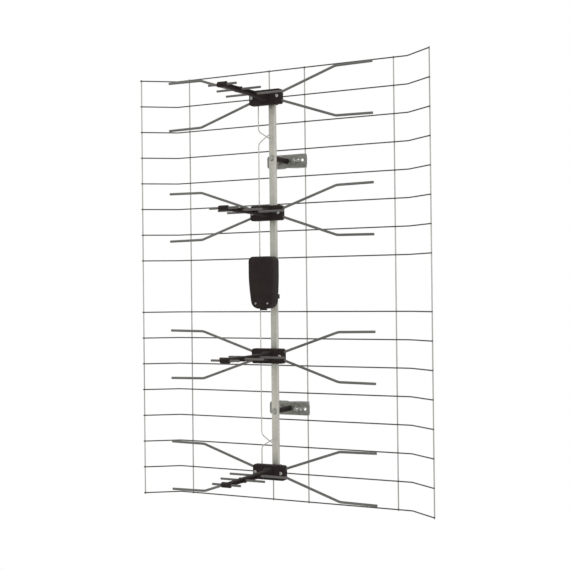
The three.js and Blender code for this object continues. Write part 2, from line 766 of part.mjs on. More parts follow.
/** The lid: a crowned cap with two screw pockets, and two hooks that catch in the top wall. */
function boxLid() {
  const near = boxParting + seatGap;
  const inner = boxFront - boxWall;
  const edge = Array.from(
    { length: lidEdgeSteps + 1 },
    (_, k) => boxFront - lidEdge + lidEdge * Math.sin((Math.PI / 2) * (k / lidEdgeSteps)),
  ).filter((distance) => distance > near);
  const innerEdge = edge.filter((distance) => distance < inner);
  const outside = boxSolid([near, ...edge], 0);
  const hollow = boxSolid([near - boxWall, ...innerEdge, inner], boxWall);
  const tubes = atLidScrews(lidTubeDiameter, near, boxFront).map((tube) =>
    tube.intersect(outside),
  );
  const insideBase = boxSolid([boxShoulder, near + overcut], boxWall + fit);
  const spigots = atLidScrews(lidBossDiameter, lidSeat - boxWall, near + overcut).map((spigot) =>
    spigot.intersect(insideBase),
  );
  const pockets = atLidScrews(lidPocketDiameter, lidSeat, boxFront + overcut);
  const hookTop = boxTop - boxWall - fit;
  const hooks = [lidHookX, -lidHookX].flatMap((x) => {
    const half = lidHook.width / 2;
    const under = hookTop - lidHook.thickness;
    const root = near + lidHook.root;
    const back = boxParting - lidHook.reach;
    const rise = hookTop + lidHook.rise;
    return [
      block([x - half, inFront(root), under], [x + half, inFront(near), boxTop - overcut]),
      block([x - half, inFront(root), under], [x + half, inFront(back), hookTop]),
      block([x - half, inFront(back + lidHook.lip), under], [x + half, inFront(back), rise]),
    ];
  });
  const holes = [lidScrewX, -lidScrewX].map((x) =>
    bore("y", lidScrew.diameter, 2 * lidScrew.length, [x, inFront(lidSeat), lidScrewZ]),
  );
  return cut(joined(cut(outside, hollow), ...tubes, ...spigots, ...hooks), ...pockets, ...holes);
}

/** The circuit board with its shield can and the four blocks that meet the feed wires. */
function boxBoard() {
  const front = boardBack + boardThickness;
  const outline = polygon(boxOutline(front, boxDrawnIn(front) + boxWall + boardMargin));
  const plate = thickened(outline, boardBack, front).intersect(
    block(
      [-boxHalfWidth, inFront(boardBack + 2 * boardThickness), boardBottom],
      [boxHalfWidth, inFront(boardBack - boardThickness), boardTop],
    ),
  );
  const canTop = shieldCan.bottom + shieldCan.height;
  const can = block(
    [-shieldCan.width / 2, inFront(boardBack + boardThickness + shieldCan.depth), shieldCan.bottom],
    [shieldCan.width / 2, inFront(boardBack + boardThickness / 2), canTop],
  );
  const half = terminalBlock.size / 2;
  const near = feedPlane + feedDiameter / 2 + fit;
  const inPlate = boardBack + boardThickness / 2;
  const centre = feedEndZ + terminalBlock.pastEnd;
  const inside = boxSolid([near - overcut, boxShoulder, front], boxWall + fit);
  const rightTerminals = [centre, -centre].map((z) =>
    block(
      [terminalInnerX, inFront(inPlate), z - half],
      [terminalInnerX + terminalBlock.size, inFront(near), z + half],
    ).intersect(inside),
  );
  const terminals = rightTerminals.flatMap((piece) => [piece, piece.mirror([1, 0, 0])]);
  return joined(plate, can, ...terminals);
}

/** The grommet: a ring whose two flanges hold the floor of the box between them. */
function grommet() {
  const bottom = boxBottom - seatGap;
  const top = boxBottom + boxWall + seatGap;
  const inner = grommetBore / 2;
  const neck = grommetNeck / 2;
  const flange = grommetFlange / 2;
  const profile = [
    [inner, bottom - grommetLip],
    [flange - grommetChamfer, bottom - grommetLip],
    [flange, bottom - grommetLip + grommetChamfer],
    [flange, bottom],
    [neck, bottom],
    [neck, top],
    [flange - grommetChamfer, top],
    [flange - 2 * grommetChamfer, top + grommetInside],
    [inner, top + grommetInside],
    [inner, bottom - grommetLip],
  ];
  return turned(profile).translate(0, inFront(grommetDistance), 0);
}

/** The folded bracket, centred on its clamp's height: web in front, two notched flanges behind. */
function clampBracket() {
  const half = innerUprightX + bracketPastUpright;
  const tipY = flangePastContact - gripRadius * Math.sin(notchHalfAngle);
  const section = foldedSection(tipY);
  const channel = new THREE.ExtrudeGeometry(section, { depth: 2 * half, bevelEnabled: false });
  channel.rotateY(Math.PI / 2);
  channel.translate(-half, 0, 0);
  const notchHalf = (notchApex + tipY) * Math.tan(notchHalfAngle);
  const slotHalf = wireRadius + fit;
  const right = [
    [half, webFrontY - overcut],
    [half, tipY - flangeChamfer],
    [half - flangeChamfer, tipY],
    [innerUprightX + slotHalf, tipY],
    [innerUprightX + slotHalf, webBackY],
    [innerUprightX - slotHalf, webBackY],
    [innerUprightX - slotHalf, tipY],
    [notchHalf, tipY],
  ];
  const left = right.map(([x, y]) => [-x, y]).reverse();
  const planOutline = polygon([...right, [0, -notchApex], ...left]);
  const plan = new THREE.ExtrudeGeometry(planOutline, {
    depth: 2 * bracketHeight,
    bevelEnabled: false,
  }).translate(0, 0, -bracketHeight);
  const face = roundedRectangle(2 * half, bracketHeight, bracketCorner);
  const slotRadius = uBoltDiameter / 2 + 1.5 * fit;
  for (const side of [1, -1]) {
    const middle = side * (legX + slotRun / 2);
    face.holes.push(slotOutline(slotRadius, slotRun, middle));
    const spareX = side * (legX + spareHoleFromLeg);
    face.holes.push(regular(roundSides, spareHoleDiameter / 2, 0, spareX));
  }
  const front = new THREE.ExtrudeGeometry(face, {
    depth: tipY - webFrontY + 2 * overcut,
    bevelEnabled: false,
  });
  front.rotateX(Math.PI / 2).translate(0, tipY + overcut, 0);
  const nutMiddle = webBackY + pressNut.height / 2 - sheet / 4;
  const nut = solid(
    bar("y", pressNut.diameter, pressNut.height + sheet / 2, [0, nutMiddle, 0]),
  );
  const boltHole = bore("y", boltDiameter, 2 * (sheet + pressNut.height), [0, webBackY, 0]);
  const folded = solid(channel).intersect(solid(plan)).intersect(solid(front));
  return cut(joined(folded, nut), boltHole);
}

/** A slot with round ends that runs along X, centred on a place there. */
function slotOutline(radius, run, x) {
  const steps = roundSides / 2;
  const points = [1, -1].flatMap((side) =>
    Array.from({ length: steps + 1 }, (_, k) => {
      const angle = (Math.PI * k) / steps - (side * Math.PI) / 2;
      return [x + (side * run) / 2 + radius * Math.cos(angle), radius * Math.sin(angle)];
    }),
  );
  return polygon(points);
}

/** The bracket's section: a channel that opens backwards, with round folds. */
function foldedSection(tipY) {
  const half = bracketHeight / 2;
  const steps = bendSteps;
  const fold = (radius, inset) =>
    Array.from({ length: steps + 1 }, (_, k) => {
      const angle = (Math.PI / 2) * (k / steps);
      return [
        half - inset - radius + radius * Math.cos(angle),
        webFrontY + inset + radius - radius * Math.sin(angle),
      ];
    });
  const outer = fold(sheetBend, 0);
  const inner = fold(sheetBend - sheet, sheet);
  const mirrored = (points) => points.map(([z, y]) => [-z, y]);
  return polygon([
    [half, tipY],
    ...outer,
    ...mirrored(outer).reverse(),
    [-half, tipY],
    [sheet - half, tipY],
    ...mirrored(inner),
    ...inner.toReversed(),
    [half - sheet, tipY],
  ]);
}

/** The tube that holds the boom off the bracket. */
function clampSpacer() {
  const near = webFrontY - seatGap;
  const far = inFront(boomFront - boomDepth) + seatGap;
  const length = near - far;
  const inner = boltDiameter / 2 + fit;
  const outer = spacerDiameter / 2;
  const ring = [[inner, 0], [outer, 0], [outer, length], [inner, length], [inner, 0]];
  return turned(ring, roundSides).rotateX(Math.PI / 2).translate(0, near, 0);
}

/** The bolt that goes through the boom and the spacer into the bracket's nut. */
function clampBolt() {
  const under = inFront(boomFront) - seatGap;
  const tip = webBackY + pressNut.height;
  const shank = turned(
    [
      [0, under - boltFlangeHeight],
      [boltFlangeDiameter / 2, under - boltFlangeHeight],
      [boltFlangeDiameter / 2, under],
      [boltDiameter / 2, under],
      [boltDiameter / 2, tip - boltPoint],
      [boltDiameter / 2 - boltPoint, tip],
      [0, tip],
    ],
    roundSides,
  ).rotateX(-Math.PI / 2);
  const hexagon = regular(6, boltHeadAcross / 2 / Math.cos(Math.PI / 6));
  const head = new THREE.ExtrudeGeometry(hexagon, { depth: boltHeadHeight, bevelEnabled: false })
    .rotateX(Math.PI / 2)
    .translate(0, under - boltFlangeHeight / 2, 0);
  return joined(solid(shank), solid(head));
}

/** The U-bolt, its legs forwards through the bracket's slots. */
function uBolt() {
  const bendY = -uBoltSlack;
  const tipY = webFrontY - seatGap - nutHeight - uBoltPastNut;
  const arc = Array.from({ length: uBoltSteps + 1 }, (_, k) => {
    const angle = (Math.PI * k) / uBoltSteps;
    return new THREE.Vector3(legX * Math.cos(angle), bendY + legX * Math.sin(angle), 0);
  });
  const points = [new THREE.Vector3(legX, tipY, 0), ...arc, new THREE.Vector3(-legX, tipY, 0)];
  return rod(points, uBoltDiameter, roundSides);
}

/** A hexagon nut on a leg of the U-bolt, centred on the leg's axis. */
function legNut() {
  const hexagon = regular(6, nutAcross / 2 / Math.cos(Math.PI / 6));
  const holeRadius = (uBoltDiameter / 2 + fit) / Math.cos(Math.PI / roundSides);
  hexagon.holes.push(regular(roundSides, holeRadius));
  return new THREE.ExtrudeGeometry(hexagon, { depth: nutHeight, bevelEnabled: false }).rotateX(
    Math.PI / 2,
  );
}

const antenna = new THREE.Group();
antenna.add(part("reflector_grid", reflectorGrid(), finishes.wire));
antenna.add(part("boom", boom(), finishes.galvanised));

// The four dipole pairs, which are alike
const insulatorShape = insulator();
const armShape = directorArm();
const dipoleShape = solid(rod(dipolePath(), dipoleDiameter, dipoleSides));
const dipoleSideShapes = { right: dipoleShape, left: dipoleShape.mirror([1, 0, 0]) };
const bays = { top: outerBayZ, upper: innerBayZ, lower: -innerBayZ, bottom: -outerBayZ };
for (const [bay, z] of Object.entries(bays)) {
  const group = new THREE.Group();
  group.position.z = z;
  group.add(part(`insulator_${bay}`, insulatorShape, finishes.plastic));
  group.add(part(`director_arm_${bay}`, armShape, finishes.plastic));
  for (const [side, sign] of [["left", -1], ["right", 1]]) {
    group.add(part(`dipole_${side}_${bay}`, dipoleSideShapes[side], finishes.aluminium));
    const terminal = screw(terminalScrew, sign * terminalX, 0, insulatorFace + seatGap);
    group.add(part(`terminal_screw_${side}_${bay}`, terminal, finishes.screw));
  }
  for (const { size, distance, length } of directors) {
    const shape = bar("x", directorDiameter, length, [0, inFront(distance), 0]);
    group.add(part(`director_${size}_${bay}`, shape, finishes.aluminium));
  }
  antenna.add(group);
}

// The feed lines. Below the middle they are the upper ones turned over
const lines = [
  ["upper", "front", 1, crossingBow, upperCrossingFromBay, 1],
  ["upper", "back", -1, -crossingBow, upperCrossingFromBay, 1],
  ["lower", "front", 1, crossingBow, lowerCrossingFromBay, -1],
  ["lower", "back", -1, -crossingBow, lowerCrossingFromBay, -1],
];
for (const [half, place, side, bow, crossing, up] of lines) {
  const path = feedWire(side, bow, crossing).map(({ x, y, z }) => new THREE.Vector3(x, y, up * z));
  antenna.add(part(`feed_wire_${half}_${place}`, rod(path, feedDiameter, wireSides), finishes.copper));
}

// The connection box
antenna.add(part("box_base", boxBase(), finishes.plastic));
antenna.add(part("box_lid", boxLid(), finishes.plastic));
antenna.add(part("box_board", boxBoard(), finishes.board));
antenna.add(part("box_grommet", grommet(), finishes.rubber));
for (const [side, sign] of [["left", -1], ["right", 1]]) {
  const shape = screw(lidScrew, sign * lidScrewX, lidScrewZ, lidSeat + seatGap);
  antenna.add(part(`lid_screw_${side}`, shape, finishes.screw));
}

// The two clamps, which are alike
const bracketShape = clampBracket();
const boltShape = clampBolt();
for (const [place, z] of [["upper", clampZ], ["lower", -clampZ]]) {
  const clamp = new THREE.Group();
  clamp.position.z = z;
  clamp.add(part(`clamp_bracket_${place}`, bracketShape, finishes.galvanised));
  clamp.add(part(`clamp_spacer_${place}`, clampSpacer(), finishes.plastic));
  clamp.add(part(`clamp_bolt_${place}`, boltShape, finishes.screw));
  clamp.add(part(`u_bolt_${place}`, uBolt(), finishes.galvanised));
  for (const [side, sign] of [["left", -1], ["right", 1]]) {
    const nut = part(`u_bolt_nut_${side}_${place}`, legNut(), finishes.screw);
    nut.position.set(sign * legX, webFrontY - seatGap, 0);
    clamp.add(nut);
  }
  antenna.add(clamp);
}

export default antenna;
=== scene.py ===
"""The looks of a television panel antenna: bent grid reflector, boom, four dipole bays, box, two clamps."""

import logging
import math
from collections.abc import Callable, Iterable, Sequence
from dataclasses import dataclass, field
from enum import Enum
from typing import Any

import bmesh
import bpy
from mathutils import Matrix, Vector


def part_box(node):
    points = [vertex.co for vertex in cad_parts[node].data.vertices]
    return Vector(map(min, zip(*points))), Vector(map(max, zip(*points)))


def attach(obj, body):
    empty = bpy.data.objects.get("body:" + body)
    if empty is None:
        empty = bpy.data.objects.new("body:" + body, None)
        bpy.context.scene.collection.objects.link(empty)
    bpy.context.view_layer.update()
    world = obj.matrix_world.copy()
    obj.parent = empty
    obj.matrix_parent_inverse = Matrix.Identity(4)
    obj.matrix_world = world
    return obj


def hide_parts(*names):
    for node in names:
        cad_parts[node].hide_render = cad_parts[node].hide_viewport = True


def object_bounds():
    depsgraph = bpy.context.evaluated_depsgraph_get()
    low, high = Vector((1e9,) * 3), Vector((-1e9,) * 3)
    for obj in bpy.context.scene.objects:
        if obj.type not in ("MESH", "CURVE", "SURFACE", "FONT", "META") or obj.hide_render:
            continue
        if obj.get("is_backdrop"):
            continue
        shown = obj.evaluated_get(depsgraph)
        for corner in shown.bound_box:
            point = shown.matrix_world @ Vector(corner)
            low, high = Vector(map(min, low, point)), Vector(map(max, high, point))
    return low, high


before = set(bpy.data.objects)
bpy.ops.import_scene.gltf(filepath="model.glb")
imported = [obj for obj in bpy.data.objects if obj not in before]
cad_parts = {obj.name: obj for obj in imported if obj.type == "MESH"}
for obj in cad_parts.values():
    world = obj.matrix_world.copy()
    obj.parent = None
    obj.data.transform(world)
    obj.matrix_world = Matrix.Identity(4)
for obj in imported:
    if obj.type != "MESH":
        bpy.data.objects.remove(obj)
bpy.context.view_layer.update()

log = logging.getLogger("antenna")

MM = 0.001  # millimetres to metres
FIT = 0.25  # millimetres between a piece and the hole or groove that holds it
SEAT_GAP = 0.2  # millimetres between two pieces that are screwed face to face
OVERCUT = 1.0  # millimetres that a cutter runs past the face that it cuts
TOUCH = 1e-3  # millimetres within which two places count as one
STRAIGHT = 0.999  # share of an edge's length that lies along the axis it runs along
THREAD_PLAY = 0.05  # millimetres between a thread's crests and the bore round it


def middle_of(node: str) -> Vector:
    """The centre of a CAD node's box, in millimetres."""
    low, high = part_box(node)
    return (low + high) / 2 / MM


BOOM_DISTANCE = 60.0  # from the reflector to the boom's front face
REFLECTOR_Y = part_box("boom")[0].y / MM + BOOM_DISTANCE


def ahead(distance: float) -> float:
    """The Y of a plane that lies a distance in front of the reflector, in millimetres."""
    return REFLECTOR_Y - distance


def laid_along(way: Sequence[float], start: Sequence[float]) -> Matrix:
    """The matrix that takes the Z axis to a way and the origin to a start."""
    turn = Vector((0, 0, 1)).rotation_difference(Vector(way)).to_matrix().to_4x4()
    return Matrix.Translation(start) @ turn


EdgeTest = Callable[[bmesh.types.BMEdge], bool]


class Body(Enum):
    """The bodies that the pieces ride on."""

    FRAME = "frame"
    LID = "box_lid"
    U_BOLT_UPPER = "u_bolt_upper"
    U_BOLT_LOWER = "u_bolt_lower"
    NUT_LEFT_UPPER = "nut_left_upper"
    NUT_RIGHT_UPPER = "nut_right_upper"
    NUT_LEFT_LOWER = "nut_left_lower"
    NUT_RIGHT_LOWER = "nut_right_lower"


class Slot(Enum):
    """The record's material slots."""

    WIRE = "zinc_wire"
    TUBE = "galvanised_tube"
    SHEET = "galvanised_sheet"
    ROD = "zinc_rod"
    SCREW = "bright_screw"
    DIPOLE = "dipole_rod"
    DIRECTOR = "director_rod"
    FEED = "feed_wire"
    PLASTIC = "black_plastic"
    RUBBER = "rubber"
    BOARD = "circuit_board"


def linear(colour: str) -> tuple[float, float, float, float]:
    """An sRGB hex colour as the linear red, green, blue and alpha that a node takes."""
    values = [int(colour[k : k + 2], 16) / 255 for k in (1, 3, 5)]
    return (*[v / 12.92 if v <= 0.04045 else ((v + 0.055) / 1.055) ** 2.4 for v in values], 1.0)


def per_metre(size: float) -> float:
    """The texture scale whose features are about that many millimetres wide."""
    return 1 / (size * MM)


def add_node(
    tree: bpy.types.NodeTree,
    kind: str,
    inputs: dict[str | int, Any] | None = None,
    **settings: Any,
) -> bpy.types.Node:
    """Adds a node with its settings, values and links.

    Args:
        tree: the node tree of a material or the world.
        kind: the node's type name.
        inputs: for each input, by name or number, a value or the output socket to link to it.
        settings: the node's own properties.

    Returns:
        The new node.
    """
    made = tree.nodes.new(kind)
    for name, value in settings.items():
        setattr(made, name, value)
    for key, value in (inputs or {}).items():
        if isinstance(value, bpy.types.NodeSocket):
            tree.links.new(value, made.inputs[key])
        else:
            made.inputs[key].default_value = value
    return made


PATCH_SPAN = (0.32, 0.68)  # noise between which the patches go from dark to light
WEAR_SPAN = (0.3, 0.7)  # noise between which the roughness goes from least to most
DUST_AND_LIGHT_FROM = 0.2  # upward part of the normal from which the dust and painted top light thicken, up to 1
DUST_AND_LIGHT_MOST = 0.35  # share of dust and painted top light where they are thickest


@dataclass(frozen=True)
class Finish:
    """A surface: what it is made of and how it was made."""

    name: str
    slot: Slot
    light: str
    dark: str
    metallic: float
    roughness: tuple[float, float]
    patch: float  # millimetres across the patches of light and dark
    grain: float  # millimetres across the fine grain
    relief: float  # millimetres of height in the grain
    specular: float = 0.5  # share of the light that a non-metal mirrors
    drawn: tuple[float, float, float] = (1.0, 1.0, 1.0)  # below 1 along the way it was drawn
    spangle: float = 0.0  # millimetres across the crystals of a hot-dip coat, or none
    contrast: float = 0.1  # share by which the crystals differ from the mean
    dust_and_top_light: str = ""  # colour of the dust and painted light from above on faces that look up, or none

    def material(self) -> bpy.types.Material:
        """The finish as a Blender material, made once."""
        known = bpy.data.materials.get(self.name)
        return known if known else self._build()

    def _build(self) -> bpy.types.Material:
        """Builds the node tree.

        Returns:
            The new material.
        """
        material = bpy.data.materials.new(self.name)
        material.use_nodes = True
        tree = material.node_tree
        tree.nodes.clear()
        place = add_node(tree, "ShaderNodeTexCoord").outputs["Object"]
        drawn = add_node(
            tree, "ShaderNodeMapping", {"Vector": place, "Scale": self.drawn}
        ).outputs["Vector"]
        patches = add_node(
            tree,
            "ShaderNodeTexNoise",
            {"Vector": drawn, "Scale": per_metre(self.patch), "Detail": 4.0, "Roughness": 0.6},
        ).outputs["Fac"]
        spread = add_node(
            tree,
            "ShaderNodeMapRange",
            {"Value": patches, "From Min": PATCH_SPAN[0], "From Max": PATCH_SPAN[1]},
        ).outputs["Result"]
        colour = add_node(
            tree,
            "ShaderNodeMix",
            {"Factor": spread, "A": linear(self.dark), "B": linear(self.light)},
            data_type="RGBA",
        ).outputs["Result"]
        if self.spangle:
            colour = self._spangled(tree, place, colour)
        # dust and painted light from above, on the faces that look up
        if self.dust_and_top_light:
            colour = self._dusted_and_top_lit(tree, colour, patches)
        grain = add_node(
            tree,
            "ShaderNodeTexNoise",
            {"Vector": drawn, "Scale": per_metre(self.grain), "Detail": 2.0},
        ).outputs["Fac"]
        bump = add_node(
            tree,
            "ShaderNodeBump",
            {"Height": grain, "Distance": self.relief * MM, "Strength": 1.0},
        ).outputs["Normal"]
        worn = add_node(
            tree,
            "ShaderNodeMapRange",
            {
                "Value": patches,
                "From Min": WEAR_SPAN[0],
                "From Max": WEAR_SPAN[1],
                "To Min": self.roughness[0],
                "To Max": self.roughness[1],
            },
        ).outputs["Result"]
        shader = add_node(
            tree,
            "ShaderNodeBsdfPrincipled",
            {
                "Base Color": colour,
                "Metallic": self.metallic,
                "Roughness": worn,
                "Specular IOR Level": self.specular,
                "Normal": bump,
            },
        ).outputs["BSDF"]
        add_node(tree, "ShaderNodeOutputMaterial", {"Surface": shader})
        return material

    def _spangled(
        self, tree: bpy.types.NodeTree, place: bpy.types.NodeSocket, colour: bpy.types.NodeSocket
    ) -> bpy.types.NodeSocket:
        """Lightens and darkens the colour crystal by crystal.

        Args:
            tree: the material's nodes.
            place: the Object coordinates.
            colour: the colour so far.

        Returns:
            The colour with the crystals in it.
        """
        cells = add_node(
            tree,
            "ShaderNodeTexVoronoi",
            {"Vector": place, "Scale": per_metre(self.spangle), "Randomness": 1.0},
        ).outputs["Color"]
        one = add_node(tree, "ShaderNodeSeparateColor", {"Color": cells}).outputs["Red"]
        value = add_node(
            tree,
            "ShaderNodeMapRange",
            {"Value": one, "To Min": 1 - self.contrast, "To Max": 1 + self.contrast},
        ).outputs["Result"]
        return add_node(
            tree, "ShaderNodeHueSaturation", {"Color": colour, "Value": value}
        ).outputs["Color"]

    def _dusted_and_top_lit(
        self, tree: bpy.types.NodeTree, colour: bpy.types.NodeSocket, patches: bpy.types.NodeSocket
    ) -> bpy.types.NodeSocket:
        """Lays a lighter film on the faces that look up: dust, and painted light from above.

        Args:
            tree: the material's nodes.
            colour: the colour so far.
            patches: the pattern that breaks the film up.

        Returns:
            The colour with the dust and painted top light on it.
        """
        normal = add_node(tree, "ShaderNodeNewGeometry").outputs["Normal"]
        up = add_node(tree, "ShaderNodeSeparateXYZ", {"Vector": normal}).outputs["Z"]
        film = add_node(
            tree,
            "ShaderNodeMapRange",
            {"Value": up, "From Min": DUST_AND_LIGHT_FROM, "To Max": DUST_AND_LIGHT_MOST},
        ).outputs["Result"]
        amount = add_node(
            tree, "ShaderNodeMath", {0: film, 1: patches}, operation="MULTIPLY"
        ).outputs["Value"]
        return add_node(
            tree,
            "ShaderNodeMix",
            {"Factor": amount, "A": colour, "B": linear(self.dust_and_top_light)},
            data_type="RGBA",
        ).outputs["Result"]


# Zinc-plated mild steel wire, drawn and welded: dull grey with darker passivation in patches
WIRE = Finish("zinc_plated_wire", Slot.WIRE, "#555652", "#444541", 0.7, (0.42, 0.6), 14, 0.5, 0.02)
# The uprights of the same wire, painted brighter than the rows: a painted reflection of the bright studio
# sides, which the upright wires catch and the rows do not
LIT_UPRIGHT = Finish(
    name="zinc_plated_upright_painted_sheen",
    slot=Slot.WIRE,
    light="#b2b3ae",
    dark="#9b9c97",
    metallic=0.7,
    roughness=(0.35, 0.5),
    patch=14,
    grain=0.5,
    relief=0.01,
    drawn=(1.0, 1.0, 0.1),
)
# Pre-galvanised steel tube: a pale, slightly warm coat with faint crystals and lines along the tube
TUBE = Finish(
    name="pregalvanised_steel_tube",
    slot=Slot.TUBE,
    light="#c4c3b8",
    dark="#aaa99f",
    metallic=0.55,
    roughness=(0.35, 0.5),
    patch=30,
    grain=0.6,
    relief=0.01,
    drawn=(1.0, 1.0, 0.12),
    spangle=6.0,
    contrast=0.04,
)
# Galvanised steel sheet, folded: a darker coat, scuffed by the press
SHEET = Finish(
    name="galvanised_steel_sheet",
    slot=Slot.SHEET,
    light="#8c8d86",
    dark="#73746d",
    metallic=0.6,
    roughness=(0.38, 0.58),
    patch=8,
    grain=0.5,
    relief=0.02,
    spangle=4.0,
    contrast=0.08,
)
# Zinc-plated steel rod of the U-bolts: brighter than the wire, with lines along the legs
ZINC_ROD = Finish(
    name="zinc_plated_rod",
    slot=Slot.ROD,
    light="#b4b4ae",
    dark="#93938d",
    metallic=0.8,
    roughness=(0.3, 0.45),
    patch=10,
    grain=0.4,
    relief=0.01,
    drawn=(1.0, 0.2, 1.0),
)
# Zinc-plated screws and nuts, dulled by weather
BRIGHT = Finish("bright_zinc", Slot.SCREW, "#b0b0ab", "#8f8f89", 0.8, (0.3, 0.45), 3, 0.3, 0.005)
# Drawn aluminium rod, weathered dull: mid grey, with fine lines along it
DIPOLE = Finish(
    name="drawn_aluminium",
    slot=Slot.DIPOLE,
    light="#6f6d6a",
    dark="#5b5a57",
    metallic=0.6,
    roughness=(0.4, 0.55),
    patch=12,
    grain=0.3,
    relief=0.012,
    drawn=(0.1, 1.0, 1.0),
)
# The director rods: the same aluminium, painted a shade darker and warmer. This is painted shade: the
# darker tone of the rods' shaded left halves is laid on the whole rod
DIRECTOR = Finish(
    name="drawn_aluminium_painted_shade",
    slot=Slot.DIRECTOR,
    light="#6b6864",
    dark="#55534f",
    metallic=0.55,
    roughness=(0.4, 0.55),
    patch=10,
    grain=0.3,
    relief=0.012,
    drawn=(0.1, 1.0, 1.0),
)
# Tinned copper wire: pale grey with a warm cast
FEED = Finish("tinned_wire", Slot.FEED, "#c6c2bc", "#aca8a2", 0.7, (0.35, 0.5), 9, 0.3, 0.01)
# Black ABS out of a spark-eroded mould: a fine matt grain, near black and slightly warm
PLASTIC = Finish(
    name="moulded_abs",
    slot=Slot.PLASTIC,
    light="#2d2524",
    dark="#241f1d",
    metallic=0.0,
    roughness=(0.62, 0.72),
    patch=16,
    grain=0.35,
    relief=0.02,
    specular=0.09,
    # dust and painted light from above, lightening the faces that look up
    dust_and_top_light="#5a5650",
)
# Black EPDM rubber: matt, with a faint bloom
RUBBER = Finish(
    name="epdm_rubber",
    slot=Slot.RUBBER,
    light="#1d1c1c",
    dark="#141313",
    metallic=0.0,
    roughness=(0.75, 0.9),
    patch=6,
    grain=0.4,
    relief=0.02,
    specular=0.25,
)
# Circuit board under green solder lacquer
BOARD = Finish("solder_lacquer", Slot.BOARD, "#2f6b43", "#255a37", 0.0, (0.25, 0.35), 5, 0.5, 0.01)
# Tinplate of the shield can on the board
TINPLATE = Finish("tinplate", Slot.BOARD, "#c6c6c2", "#a9a9a5", 0.85, (0.22, 0.36), 7, 0.4, 0.008)


